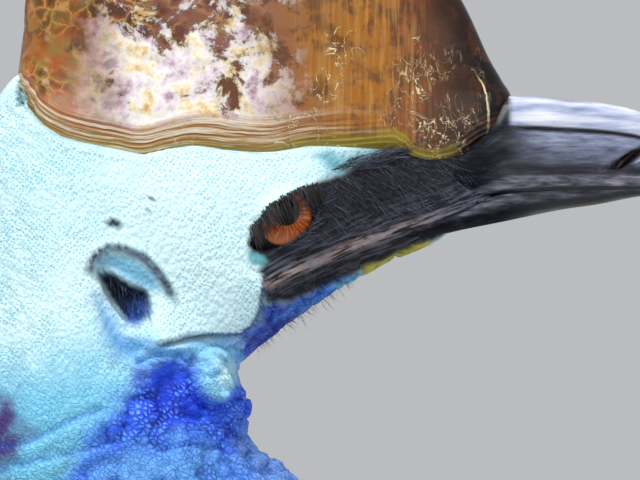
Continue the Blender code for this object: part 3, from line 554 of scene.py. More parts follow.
def throatShare(side):  # 1 where the skin is loose and deep blue
    shape = spots([(150, 352), (204, 350), (238, 340), (256, 322), (262, 292), (420, 236), (470, 226), (420, 262),
                   (300, 330), (250, 360), (300, 480), (360, 700), (250, 760), (120, 640), (40, 500), (84, 436), (128, 396)])
    return smooth(0.0020, -0.0030, inside(side, shape))


skinPatches = {  # colour, softness in metres, how far the edge wanders, outline in steps of the side view
    "low neck": ((0.22, 0.62, 0.86), 0.0150, 0.006,
        [(-40, 380), (60, 360), (140, 352), (150, 420), (60, 520), (-60, 560)]),
    "under ear": ((0.10, 0.34, 0.68), 0.0040, 0.003,
        [(96, 296), (118, 326), (146, 344), (140, 362), (112, 352), (96, 322)]),
    "throat": ((0.035, 0.140, 0.95), 0.0050, 0.006,
        [(152, 356), (204, 352), (238, 342), (262, 318), (300, 318), (262, 360), (290, 470), (330, 620), (200, 700),
         (100, 560), (64, 480), (96, 424), (132, 390)]),
    "deep blue": ((0.020, 0.075, 0.82), 0.0040, 0.005,
        [(146, 372), (190, 372), (214, 404), (196, 430), (150, 440), (130, 410)]),
    "jowl": ((0.27, 0.64, 0.97), 0.0030, 0.003,
        [(140, 352), (200, 340), (238, 340), (240, 372), (222, 366), (196, 362), (170, 358), (146, 366)]),
    "throat light": ((0.15, 0.40, 0.93), 0.0060, 0.006,
        [(100, 446), (160, 436), (206, 444), (240, 462), (262, 520), (60, 540)]),
    "throat edge": ((0.22, 0.42, 0.95), 0.0040, 0.003,
        [(244, 428), (262, 440), (300, 480), (320, 540), (280, 520), (236, 460)]),
    "bulb": ((0.34, 0.74, 0.98), 0.0016, 0.0006,
        [(198, 348), (224, 348), (237, 366), (236, 386), (226, 400), (212, 402), (202, 390), (195, 370)]),
    # painted highlight on the front of the bulb
    "bulb highlight": ((0.62, 0.90, 0.97), 0.0022, 0.001, [(220, 358), (231, 366), (232, 384), (222, 392), (216, 380)]),
    "gular": ((0.018, 0.060, 0.46), 0.0025, 0.002,
        [(256, 326), (262, 302), (300, 296), (352, 272), (362, 282), (320, 316), (286, 340), (258, 356), (246, 364),
         (244, 344)]),
    "gular light": ((0.06, 0.25, 0.80), 0.0020, 0.002,
        [(272, 318), (300, 300), (352, 276), (364, 276), (330, 296), (296, 318)]),
    "violet": ((0.07, 0.04, 0.20), 0.0050, 0.010, [(-60, 404), (4, 406), (18, 430), (8, 470), (-60, 500)]),
    "forehead": ((0.10, 0.36, 0.45), 0.0030, 0.003,
        [(318, 158), (344, 152), (404, 141), (404, 149), (350, 164), (326, 172)]),
    "lores": ((0.005, 0.006, 0.011), 0.0012, 0.0012,
        [(247, 252), (256, 231), (268, 211), (287, 196), (312, 184), (330, 176), (352, 166), (380, 156), (402, 145),
         (410, 138), (540, 110), (540, 190), (425, 246), (333, 284), (291, 301), (268, 302), (262, 290), (258, 276),
         (262, 268), (254, 262)]),
    "yellow": ((0.55, 0.50, 0.04), 0.0010, 0.0010,
        [(362, 276), (364, 268), (388, 259), (412, 248), (432, 241), (430, 247), (398, 268), (366, 284)]),
    "turquoise": ((0.20, 0.62, 0.72), 0.0012, 0.0010, [(334, 288), (362, 274), (366, 280), (344, 292)]),
    "corner": ((0.14, 0.44, 0.48), 0.0007, 0.0006,
        [(246, 254), (254, 252), (264, 257), (267, 263), (260, 267), (250, 264)]),
    # painted shade: the inside of the ear opening is painted near-black
    "ear hole": ((0.003, 0.006, 0.030), 0.0006, 0.0006,
        [(98, 274), (111, 272), (130, 285), (148, 291), (150, 306), (138, 319), (126, 317), (112, 299)]),
    "ear blue": ((0.040, 0.150, 0.60), 0.0016, 0.0010, [(126, 304), (146, 298), (152, 312), (140, 324), (126, 322)]),
    "ear shade": ((0.20, 0.50, 0.70), 0.0016, 0.0010,
        [(96, 262), (112, 254), (134, 258), (152, 272), (160, 290), (152, 292), (132, 282), (112, 269), (98, 270)]),
    "speck": ((0.05, 0.10, 0.14), 0.0005, 0.0004, [(149, 196), (154, 196), (155, 201), (150, 201)]),
    "speck low": ((0.05, 0.10, 0.14), 0.0005, 0.0004, [(145, 212), (151, 209), (151, 213), (147, 215)]),
    "scab": ((0.020, 0.030, 0.060), 0.0006, 0.0006, [(106, 222), (112, 217), (122, 221), (122, 228), (110, 227)]),
}


def paintSkin(co):  # colours by place, the same on both sides
    side, place = co[:, [0, 2]], oneSided(co)
    wander = np.c_[lumps(place, 0.006, 3, 21) - 0.5, lumps(place, 0.006, 3, 33) - 0.5]
    pale, sky = np.array([0.74, 0.95, 0.98]), np.array([0.46, 0.82, 0.93])
    tone = np.clip(0.5 + 1.6 * (lumps(place, 0.018, 3, 3) - 0.5), 0, 1)
    colour = tinted(np.tile(pale, (len(co), 1)), 0.35 * tone, sky)
    colour = tinted(colour, smooth(-0.030, -0.075, side[:, 1]), (0.25, 0.66, 0.88))
    for shade, soft, wild, outline in skinPatches.values():
        colour = tinted(colour, smooth(soft, -soft, inside(side + wander * wild * 2, spots(outline))), shade)
    plate = inside(side, np.vstack([cheekEdge[2:], spots([(262, 274), (210, 280), (160, 335)])]))
    colour = tinted(colour, smooth(0.0004, -0.0004, plate), pale * 0.8 + sky * 0.2)
    # painted shade: dark blue lines in the creases of the neck folds
    folded = np.minimum(lineDistance(side, neckFolds[0]), lineDistance(side, neckFolds[1]))
    colour = tinted(colour, 0.6 * bell(folded, 0.0007), (0.02, 0.09, 0.50))
    # painted shade in the creases of the loose throat skin
    crease = (puckers(co) * throatShare(side))[:, None] * 0.75
    colour = colour * (1 - crease * np.array([0.9, 0.8, 0.55]))
    # painted shade: a dark band just under the lip of the cheek plate
    below = inside(side, np.vstack([cheekEdge, spots([(250, 180), (60, 200)])])) > 0
    under = 0.8 * below * bell(lineDistance(side, cheekEdge[2:]), 0.0008, 0.0004)
    colour = tinted(colour, under, (0.010, 0.030, 0.16))
    # further down the neck: blue in front, red behind
    colour = tinted(colour, smooth(-0.085, -0.16, side[:, 1]), (0.02, 0.06, 0.50))
    stray = 0.030 * (lumps(place, 0.022, 3, 51) - 0.5)
    behind = smooth(-0.062, -0.080, side[:, 0] + stray + 0.10 * (side[:, 1] + 0.2))
    behind = behind * smooth(-0.13, -0.19, side[:, 1] + stray)
    red = np.array([0.62, 0.07, 0.03]) * (0.55 + 0.9 * lumps(place, 0.009, 3, 61))[:, None]
    colour = tinted(colour, behind, red)
    colour = tinted(colour, 0.85 * bell(lineDistance(side, earRim), 0.0010, 0.0004), (0.02, 0.05, 0.12))
    feathered = smooth(-0.385, -0.400, side[:, 1] + 0.25 * (side[:, 0] + 0.10))
    return tinted(colour, feathered, (0.010, 0.009, 0.009))


skinFinish = {  # sizes as cells to the metre, and colours
    "pores": 860, "net": 520, "warts": 620, "turn": math.radians(36), "poreColour": (0.16, 0.54, 0.64),
    # the gape tan and sheen colours are painted highlights on the skin folds along the gape
    # the throat colour is a painted highlight on the raised cells of the blue skin
    "netColour": (0.30, 0.70, 0.84), "throatHighlight": (0.17, 0.42, 0.95), "gapeTanHighlight": (0.42, 0.31, 0.27),
    "gapeSheen": (0.17, 0.18, 0.26),
}


def skinMaterial():
    look = skinFinish
    made, tree, shader, where = newMaterial("headSkin", 0.5)
    paint = stored(tree, "paint", "Color")
    bright = add(tree, "SeparateColor", {"Color": paint}, mode="HSV").outputs["Blue"]
    parts = add(tree, "SeparateXYZ", {"Vector": where})
    sideways = calc(tree, "GREATER_THAN", stored(tree, "sideways"), 0.5)
    across = add(tree, "Mix", {0: sideways, 2: parts.outputs[1], 3: parts.outputs[0]}).outputs[0]
    bent = noiseAt(tree, where, 120, 3)
    swayed = add(tree, "CombineXYZ", {0: plus(tree, across, times(tree, bent, 0.004)),
                 1: plus(tree, parts.outputs[2], times(tree, bent, 0.003))}).outputs[0]
    turned = stretched(tree, swayed, (1, 1, 1), (0, 0, look["turn"]))
    pores = cells(tree, turned, look["pores"], random=0.45, flat="2D")
    dots = times(tree, ramp(tree, pores, [(0.14, 0.8), (0.32, 0.0)]), bright)
    patchy = ramp(tree, noiseAt(tree, where, 110, 4), [(0.36, 0.30), (0.60, 1.0)])
    colour = blendColour(tree, times(tree, dots, patchy), paint, look["poreColour"], "MULTIPLY")
    lowDown = span(tree, parts.outputs[2], eyeZ - 0.024, eyeZ - 0.062)
    nape = span(tree, parts.outputs[0], eyeX - 0.046, eyeX - 0.075)
    netted = calc(tree, "MAXIMUM", times(tree, nape, 0.6), lowDown)
    net = cells(tree, stretched(tree, turned, (1.0, 1.5, 1.0)), look["net"], "DISTANCE_TO_EDGE", flat="2D")
    lines = times(tree, span(tree, net, 0.15, 0.02), netted)
    crease = grainIn(tree, turned, (60, 560, 1), detail=3.0, rough=0.6)
    streaks = times(tree, lineIn(tree, crease, 0.5, 0.030, 0.0), nape)
    lines = calc(tree, "MAXIMUM", lines, times(tree, streaks, 0.8))
    colour = blendColour(tree, times(tree, lines, times(tree, patchy, 0.75)), colour,
                         look["netColour"], "MULTIPLY")
    blue = span(tree, add(tree, "SeparateColor", {"Color": paint}, mode="RGB").outputs["Red"], 0.14, 0.03)
    # painted highlight: lighter blue on the raised middles of the net cells in the blue skin
    pale = times(tree, times(tree, span(tree, net, 0.16, 0.34), span(tree, bright, 0.30, 0.60)), blue)
    pale = times(tree, pale, ramp(tree, noiseAt(tree, where, 150, 4), [(0.44, 0.0), (0.60, 0.9)]))
    colour = blendColour(tree, pale, colour, look["throatHighlight"])
    jaw = stored(tree, "jaw")  # height over the gape line
    grain = noiseAt(tree, add(tree, "CombineXYZ", {0: times(tree, parts.outputs[0], 110), 1: 0.0,
                    2: times(tree, jaw, 1150)}).outputs[0], 1.0, 4, 0.62)
    dark = times(tree, span(tree, bright, 0.16, 0.05), span(tree, parts.outputs[0], eyeX - 0.0080, eyeX - 0.0040))
    # painted highlights: tan lines on the skin folds along the gape
    tanHighlight = times(tree, lineIn(tree, jaw, 0.0, 0.0026, 0.0008), span(tree, grain, 0.42, 0.54))
    tanHighlight = times(tree, tanHighlight, span(tree, parts.outputs[0], eyeX + 0.0500, eyeX + 0.0280))
    colour = blendColour(tree, times(tree, tanHighlight, dark), colour, look["gapeTanHighlight"])
    # painted blue-grey sheen on the folds above the gape
    sheen = times(tree, lineIn(tree, jaw, 0.0015, 0.0090, 0.0020),
                 ramp(tree, grain, [(0.46, 0.0), (0.64, 0.85)]))
    colour = blendColour(tree, times(tree, sheen, dark), colour, look["gapeSheen"])
    warts = cells(tree, turned, look["warts"], "SMOOTH_F1", flat="2D")
    height = plus(tree, times(tree, warts, -1.0), times(tree, lines, -0.45))
    height = plus(tree, height, times(tree, noiseAt(tree, where, 260, 3), 0.8))
    normal = bump(tree, height, 0.65, 0.0008)
    plug(tree, shader, colour=colour, normal=normal, rough=ramp(tree, bent, [(0.3, 0.42), (0.7, 0.62)]), spec=0.3)
    return made


def thighRings(side, ahead):
    rows = [(-0.540, -0.700, 0.066, 0.088), (-0.485, -0.770, 0.070, 0.092), (-0.455, -0.850, 0.068, 0.086),
            (-0.470, -0.930, 0.057, 0.070), (-0.510, -1.000, 0.045, 0.054), (-0.545, -1.050, 0.036, 0.042),
            (-0.556, -1.082, 0.030, 0.034)]
    rows = curveAt(rows, np.linspace(0, 6, 40))
    path, across, upright = [], [], []
    for x, z, wide, deep in rows:
        low = min(1.0, (-0.70 - z) / 0.40)
        path.append((eyeX + x + ahead * low, side * (0.098 + 0.014 * low), eyeZ + z))
        across.append(wide - 0.003)
        upright.append(deep - 0.003)
    return path, across, upright


strides = {"right": -0.035, "left": -0.095}
sides = {"right": -1, "left": 1}


def buildSkin():
    sizes = skinSizes
    rows = headRows + neckRows + torsoRows
    last = len(headRows) - 1
    stations = np.r_[np.linspace(0, last, sizes["headRings"]),
                     last + (len(neckRows)) * (np.linspace(0, 1, sizes["neckRings"] + 1)[1:]) ** 1.35,
                     last + len(neckRows) + np.linspace(0, len(torsoRows), sizes["torsoRings"] + 1)[1:]]
    rings = []
    for station, row in zip(stations, curveAt(rows, stations)):
        depth = sizes["bodyDepth"] * smooth(last + 9, last + 13, np.array([station]))[0]
        rings.append(bodyRing(row, sizes["sides"], 2.3, depth))
    obj = piece("skin", loft(rings), skinMaterial(),
                ["head", "neck", "torso", "tail", "thigh_right", "thigh_left"])
    co, normal = cornersOf(obj) - eyeCentre, normalsOf(obj)
    high = co[:, 2] > -0.16
    co[high] = shapeHead(co[high], normal[high])
    low = ~high
    wrinkles = 0.0040 * (lumps(oneSided(co[low]), 0.014, 3, 8) - 0.5)
    co[low] += normal[low] * wrinkles[:, None] * smooth(-0.36, -0.16, co[low][:, 2])[:, None]
    moveTo(obj, co + eyeCentre)
    joinLegs(obj)
    co = cornersOf(obj) - eyeCentre
    store(obj, "paint", paintSkin(co))
    store(obj, "sideways", np.abs(normalsOf(obj)[:, 1]))
    store(obj, "jaw", co[:, 2] - np.interp(co[:, 0], gapeRidge[:, 0], gapeRidge[:, 1], right=0.02))
    obj.data.shade_smooth()
    return obj


def joinLegs(obj):  # thighs become part of the same closed skin
    group = bpy.data.collections.new("thighs")
    bpy.context.scene.collection.children.link(group)
    for name in sides:
        path, across, upright = thighRings(sides[name], strides[name])
        mesh = bpy.data.meshes.new("thigh")
        bm = loft(tubeRings(path, across, upright, 48))
        bm.to_mesh(mesh)
        bm.free()
        group.objects.link(bpy.data.objects.new("thighForm_" + name, mesh))
    union = obj.modifiers.new("join", "BOOLEAN")
    union.operation, union.solver, union.operand_type, union.collection = "UNION", "MANIFOLD", "COLLECTION", group
    bpy.context.view_layer.update()
    result = bpy.data.meshes.new_from_object(obj.evaluated_get(bpy.context.evaluated_depsgraph_get()))
    obj.modifiers.clear()
    if len(result.vertices) > 1000:
        obj.data = result
    for extra in list(group.objects):
        bpy.data.objects.remove(extra)
    bpy.data.collections.remove(group)


skin = buildSkin()
print("skin", len(skin.data.polygons))

casqueSizes = {"rings": 165, "sides": 280, "ridgeHeight": 0.0007, "ridgeStep": 0.00165, "ridgeBand": 0.0095}


def buildCasque():
    sizes = casqueSizes
    rings = []
    stations = np.linspace(0, 1, sizes["rings"]) ** 1.25 * (len(casqueRows) - 1)
    for row in curveAt(casqueRows, stations):
        angle = 2 * np.pi * np.arange(sizes["sides"]) / sizes["sides"]
        along = (1 - np.cos(angle)) / 2
        across = casqueAcross(along, row[0])
        x = row[1] + (row[2] - row[1]) * along
        y = np.sign(np.sin(angle)) * row[3] * across
        z = np.full_like(x, row[0])
        fade = smooth(0.040, 0.0215, row[0])
        z += (casqueEdge(x) - 0.0195) * fade
        rings.append(np.c_[x, y, z] + eyeCentre)
    obj = piece("casqueHorn", loft(rings), casqueMaterial(), ["casque"])
    co, normal = cornersOf(obj) - eyeCentre, normalsOf(obj)
    place = oneSided(co)
    rise = co[:, 2] - casqueEdge(co[:, 0])
    wander = 0.0016 * (lumps(place, 0.020, 3, 4) - 0.5)
    phase = (rise + wander) / sizes["ridgeStep"]
    step = phase - np.floor(phase)
    band = smooth(sizes["ridgeBand"], sizes["ridgeBand"] * 0.5, rise) * smooth(-0.002, 0.001, rise)
    rearward = smooth(0.035, 0.010, co[:, 0])
    push = sizes["ridgeHeight"] * (step ** 1.5 - 0.4) * band * (0.35 + 0.65 * rearward)
    flake = lumps(place, 0.012, 4, 14)
    push += 0.0007 * (smooth(0.50, 0.54, flake) - 0.5) * smooth(0.006, 0.014, rise) * smooth(0.030, 0.010, co[:, 0])
    push += 0.0012 * (lumps(place, 0.030, 2, 17) - 0.5)
    moveTo(obj, co + normal * push[:, None] + eyeCentre)
    store(obj, "rise", rise)
    store(obj, "ahead", co[:, 0])
    table = curveAt(casqueRows, np.linspace(0, len(casqueRows) - 1, 200))
    store(obj, "front", np.interp(co[:, 2], table[:, 0], table[:, 2]) - co[:, 0])
    return obj


casqueFinish = {
    "horn": [  # from the rear to the front
        (0.0, (0.23, 0.075, 0.008)), (0.08, (0.12, 0.036, 0.006)), (0.18, (0.20, 0.060, 0.018)),
        (0.30, (0.22, 0.085, 0.055)), (0.50, (0.27, 0.115, 0.065)), (0.60, (0.29, 0.110, 0.018)),
        (0.72, (0.33, 0.115, 0.004)), (0.79, (0.20, 0.048, 0.004)), (0.87, (0.045, 0.016, 0.006)),
        (0.95, (0.006, 0.005, 0.006))],
    "cream": [(0.33, (0.42, 0.28, 0.34)), (0.41, (0.76, 0.66, 0.74)), (0.50, (0.94, 0.90, 0.86)),
              (0.57, (0.90, 0.76, 0.50)), (0.67, (0.64, 0.36, 0.09))],
    "layers": [(0.34, (0.07, 0.022, 0.008)), (0.43, (0.34, 0.09, 0.030)), (0.50, (0.36, 0.20, 0.06)),
               (0.55, (0.80, 0.70, 0.56)), (0.64, (0.56, 0.44, 0.26))],
    "rearSpots": [(0.4, (0.42, 0.09, 0.015)), (0.6, (0.32, 0.20, 0.04))],
    "mottle": (0.07, 0.024, 0.010), "gold": (0.50, 0.26, 0.06), "hollows": (0.060, 0.024, 0.012),
    "hollowRims": (0.56, 0.34, 0.11), "rim": (0.34, 0.27, 0.03), "cracks": (0.84, 0.70, 0.42), "hollowCells": 190,
}


def casqueMaterial():
    look = casqueFinish
    made, tree, shader, where = newMaterial("casqueHorn", 0.35)
    rise = stored(tree, "rise")
    ahead = stored(tree, "ahead")
    cloud = noiseAt(tree, where, 45, 5, 0.6)
    wide = noiseAt(tree, where, 22, 4, 0.55)
    mottle = noiseAt(tree, where, 150, 6, 0.65)
    warped = plus(tree, ahead, times(tree, minus(tree, cloud, 0.5), 0.026))
    along = span(tree, warped, -0.075, 0.065)
    base = ramp(tree, along, look["horn"])
    base = blendColour(tree, ramp(tree, mottle, [(0.48, 0.0), (0.57, 0.70)]), base, look["mottle"])
    rearSpots = times(tree, ramp(tree, along, [(0.05, 1.0), (0.26, 0.0)]), ramp(tree, cloud, [(0.50, 0.0), (0.56, 0.8)]))
    base = blendColour(tree, rearSpots, base, ramp(tree, mottle, look["rearSpots"]))
    streak = grainIn(tree, where, (900, 300, 25), (0, math.radians(-6), 0), 4.0, 0.6)
    golden = ramp(tree, along, [(0.54, 0.0), (0.64, 1.0), (0.78, 1.0), (0.86, 0.0)])
    base = blendColour(tree, times(tree, golden, ramp(tree, streak, [(0.46, 0.0), (0.64, 0.50)])), base, look["gold"])
    # cream flakes over the middle
    middle = times(tree, ramp(tree, along, [(0.12, 0.0), (0.22, 1.0), (0.44, 1.0), (0.60, 0.0)]),
                  span(tree, rise, 0.0055, 0.0095))
    chips = noiseAt(tree, where, 85, 9, 0.74, 0.35)
    cover = plus(tree, chips, times(tree, minus(tree, wide, 0.5), 0.55))
    cover = plus(tree, cover, add(tree, "MapRange", {"Value": rise, "From Min": 0.018, "From Max": 0.042,
                                                     "To Min": 0.04, "To Max": -0.11}).outputs[0])
    flakes = times(tree, middle, ramp(tree, cover, [(0.425, 0.0), (0.455, 0.80), (0.52, 1.0)]))
    colour = blendColour(tree, times(tree, flakes, 0.90), base, ramp(tree, mottle, look["cream"]))
    # dark hollows with golden rims, high up and behind
    drift = add(tree, "CombineXYZ", {0: times(tree, mottle, 0.010), 2: times(tree, cloud, 0.014)}).outputs[0]
    web = cells(tree, add(tree, "VectorMath", {0: where, 1: drift}, operation="ADD").outputs[0], look["hollowCells"],
                "DISTANCE_TO_EDGE")
    above = times(tree, span(tree, rise, 0.024, 0.036), ramp(tree, along, [(0.02, 1.0), (0.40, 1.0), (0.52, 0.0)]))
    worn = calc(tree, "MAXIMUM", above, ramp(tree, along, [(0.0, 0.8), (0.20, 0.8), (0.32, 0.0)]))
    worn = times(tree, worn, ramp(tree, flakes, [(0.0, 1.0), (1.0, 0.25)]))
    worn = times(tree, worn, times(tree, span(tree, rise, 0.006, 0.010),
                ramp(tree, noiseAt(tree, where, 58, 3), [(0.42, 0.0), (0.54, 1.0)])))
    hollows = times(tree, span(tree, web, 0.07, 0.24), times(tree, worn, 0.80))
    colour = blendColour(tree, hollows, colour, look["hollows"])
    rims = times(tree, span(tree, web, 0.07, 0.01), times(tree, worn, 0.60))
    colour = blendColour(tree, rims, colour, look["hollowRims"])
    # growth layers along the lower edge
    sway = times(tree, minus(tree, wide, 0.5), 0.006)
    layers = noiseAt(tree, add(tree, "CombineXYZ", {0: times(tree, ahead, 16), 1: 0.0,
                     2: times(tree, plus(tree, rise, sway), 1000)}).outputs[0], 1.0, 5, 0.7)
    low = times(tree, span(tree, plus(tree, rise, times(tree, sway, 1.5)), 0.0110, 0.0070),
               ramp(tree, along, [(0.50, 1.0), (0.64, 0.20), (0.80, 0.0)]))
    colour = blendColour(tree, low, colour, ramp(tree, layers, look["layers"]))
    rim = span(tree, plus(tree, rise, times(tree, minus(tree, mottle, 0.5), 0.006)), 0.0046, 0.0010)
    rim = times(tree, rim, ramp(tree, along, [(0.0, 0.5), (0.50, 0.6), (0.60, 1.0), (0.84, 1.0), (0.92, 0.0)]))
    colour = blendColour(tree, times(tree, rim, 0.85), colour, look["rim"])
    front = stored(tree, "front")
    bent = plus(tree, front, times(tree, minus(tree, mottle, 0.5), 0.0030))
    marks = lineIn(tree, bent, 0.0066, 0.00045, 0.00018)
    marks = times(tree, marks, ramp(tree, rise, [(0.003, 0.0), (0.006, 1.0), (0.016, 1.0), (0.020, 0.0)]))
    # thin pale squiggles near the front
    curl = noiseAt(tree, where, 95, 3, 0.55, 1.8)
    squiggle = lineIn(tree, curl, 0.5, 0.013, 0.004)
    upright = grainIn(tree, where, (230, 120, 95), detail=3.0, rough=0.6, distortion=1.4)
    upright = lineIn(tree, upright, 0.5, 0.014, 0.005)
    cracks = calc(tree, "MAXIMUM", squiggle, upright)
    cracks = times(tree, cracks, ramp(tree, along, [(0.72, 0.0), (0.78, 1.0), (0.92, 1.0), (0.95, 0.0)]))
    cracks = times(tree, cracks, ramp(tree, noiseAt(tree, where, 70, 2), [(0.44, 0.0), (0.52, 1.0)]))
    cracks = times(tree, cracks, ramp(tree, rise, [(0.020, 1.0), (0.034, 0.0)]))
    few = times(tree, squiggle, ramp(tree, noiseAt(tree, where, 52, 2), [(0.58, 0.0), (0.62, 1.0)]))
    few = times(tree, few, ramp(tree, along, [(0.30, 0.0), (0.40, 1.0), (0.80, 1.0), (0.82, 0.0)]))
    cracks = calc(tree, "MAXIMUM", cracks, few)
    cracks = calc(tree, "MAXIMUM", cracks, marks)
    colour = blendColour(tree, cracks, colour, look["cracks"])
    height = plus(tree, times(tree, flakes, 0.7), times(tree, times(tree, layers, low), 2.0))
    height = plus(tree, height, times(tree, cracks, 0.7))
    height = plus(tree, height, times(tree, plus(tree, mottle, chips), 0.35))
    plug(tree, shader, colour=colour, normal=bump(tree, height, 0.7, 0.0009),
         rough=ramp(tree, flakes, [(0.0, 0.30), (1.0, 0.58)]), coat=0.06, coatRough=0.12, spec=0.22)
    return made


casque = buildCasque()
print("casque", len(casque.data.polygons))

billSizes = {"rings": 110, "nostrilWall": 0.0012, "upperRows": [  # x, top, bottom, half width, from the eye
    (0.0200, 0.0030, -0.0070, 0.0180), (0.0333, 0.0075, -0.0020, 0.0170), (0.0476, 0.0190, 0.0026, 0.0158),
    (0.0561, 0.0275, 0.0052, 0.0148), (0.0630, 0.0350, 0.0068, 0.0138), (0.0700, 0.0352, 0.0075, 0.0128),
    (0.0789, 0.0344, 0.0080, 0.0114), (0.0903, 0.0334, 0.0081, 0.0098), (0.1017, 0.0310, 0.0083, 0.0083),
    (0.1117, 0.0262, 0.0084, 0.0070), (0.1200, 0.0200, 0.0084, 0.0054), (0.1262, 0.0142, 0.0086, 0.0030),
    (0.1288, 0.0112, 0.0090, 0.0010)],
    "lowerRows": [
    (0.0200, -0.0090, -0.0120, 0.0080), (0.0333, -0.0020, -0.0085, 0.0135), (0.0476, 0.0034, -0.0042, 0.0140),
    (0.0630, 0.0078, -0.0010, 0.0120), (0.0789, 0.0093, 0.0023, 0.0100), (0.0903, 0.0095, 0.0040, 0.0086),
    (0.1017, 0.0097, 0.0062, 0.0070), (0.1117, 0.0098, 0.0072, 0.0056), (0.1210, 0.0099, 0.0082, 0.0032),
    (0.1245, 0.0098, 0.0090, 0.0010)]}
upperProfile = [(0.0, 0.03), (0.50, 0.0), (0.90, 0.0), (1.02, 0.05), (1.04, 0.13), (0.95, 0.22), (0.80, 0.30),
                (0.80, 0.38), (0.88, 0.48), (0.84, 0.58), (0.68, 0.645), (0.57, 0.665), (0.60, 0.71), (0.58, 0.82),
                (0.46, 0.94), (0.22, 0.99), (0.0, 1.0)]
lowerProfile = [(0.0, 0.0), (0.45, 0.02), (0.75, 0.14), (0.92, 0.40), (1.0, 0.75), (0.97, 0.95), (0.90, 1.0), (0.0, 1.0)]


def billRings(rows, profile, count):
    profile = curveAt([(w, h, 0) for w, h in profile], np.linspace(0, len(profile) - 1, 60))
    rings = []
    for x, top, bottom, half in curveAt(rows, np.linspace(0, len(rows) - 1, count)):
        top, bottom, half = max(top, bottom + 0.0004), bottom, max(half, 0.0006)
        crisp = smooth(0.050, 0.072, x)  # round where it leaves the face, cut into ridges further out
        plain = np.pi * np.linspace(0, 1, 60)
        egg = np.sin(plain) ** 0.7 * (1 - 0.5 * smooth(1.8, 2.8, plain))
        wide = np.maximum(0, profile[:, 0]) * crisp + (1 - crisp) * egg
        high = profile[:, 1] * crisp + (1 - crisp) * (1 - np.cos(plain)) / 2
        ring = [(x, -half * w, bottom + (top - bottom) * h) for w, h in zip(wide, high)]
        ring += [(x, half * w, bottom + (top - bottom) * h) for w, h in zip(wide[::-1][1:-1], high[::-1][1:-1])]
        rings.append(np.array(ring) + eyeCentre)
    return rings


nostril = spots([(610, 168), (622, 158), (636, 149), (654, 142), (666, 140), (664, 146), (648, 154), (634, 163), (620, 169)])


billFinish = {
    "horn": [(0.35, (0.004, 0.005, 0.008)), (0.55, (0.010, 0.011, 0.018)), (0.72, (0.036, 0.039, 0.054))],
    # painted highlight: the bright blue-white reflection along the top of the bill
    "culmenHighlight": [(0.36, (0.22, 0.27, 0.44)), (0.50, (0.52, 0.58, 0.76)), (0.62, (0.84, 0.85, 0.90))],  # along the top
    # painted highlight: the lit lilac-grey band along the gape edges of the bill
    "ridge": [(0.36, (0.03, 0.03, 0.045)), (0.52, (0.13, 0.13, 0.17)), (0.66, (0.30, 0.29, 0.34))],  # along the gape
    # painted highlight: soft blue-grey reflection on the mound over the nostril
    "moundHighlight": [(0.30, (0.08, 0.09, 0.15)), (0.50, (0.20, 0.23, 0.35)), (0.68, (0.34, 0.37, 0.50))],  # over the nostril
    # painted shade inside the nostril opening
    "nostril": (0.014, 0.003, 0.004),
}


def billMaterial():
    look = billFinish
    made, tree, shader, where = newMaterial("billHorn", 0.35)
    culmenHighlight = stored(tree, "culmenHighlight")
    hole = stored(tree, "hole")
    ridge = stored(tree, "ridge")
    moundHighlight = stored(tree, "moundHighlight")
    matte = stored(tree, "matte")
    worn = grainIn(tree, where, (130, 500, 900), (0, math.radians(8), 0), 5.0, 0.6)
    cloud = noiseAt(tree, where, 160, 4)
    base = ramp(tree, worn, look["horn"])
    broad = grainIn(tree, where, (42, 160, 330), (0, math.radians(5), 0), 4.0, 0.5)
    # painted highlight along the top of the bill
    colour = blendColour(tree, times(tree, culmenHighlight, 0.95), base, ramp(tree, broad, look["culmenHighlight"]))
    # painted highlight: lit lilac-grey band along the gape edge
    colour = blendColour(tree, times(tree, ridge, 0.9), colour, ramp(tree, worn, look["ridge"]))
    # painted highlight on the mound over the nostril
    colour = blendColour(tree, times(tree, moundHighlight, 0.85), colour, ramp(tree, worn, look["moundHighlight"]))
    # painted shade inside the nostril
    colour = blendColour(tree, hole, colour, look["nostril"])
    height = plus(tree, worn, times(tree, cloud, 0.4))
    gloss = minus(tree, 1.0, matte)
    rough = calc(tree, "MAXIMUM", ramp(tree, cloud, [(0.3, 0.24), (0.7, 0.44)]), times(tree, matte, 0.85))
    plug(tree, shader, colour=colour, normal=bump(tree, height, 0.35, 0.0006), rough=rough, coatRough=0.12,
         coat=times(tree, gloss, 0.20), spec=plus(tree, 0.10, times(tree, gloss, 0.25)))
    return made


def billHeight(rows, co):  # 0 at the lower edge of a half of the bill, 1 at its upper edge
    rows = curveAt(rows, np.linspace(0, len(rows) - 1, 200))
    rows = rows[np.argsort(rows[:, 0])]
    top, bottom = (np.interp(co[:, 0], rows[:, 0], rows[:, k]) for k in (1, 2))
    return (co[:, 2] - bottom) / np.maximum(top - bottom, 1e-4)


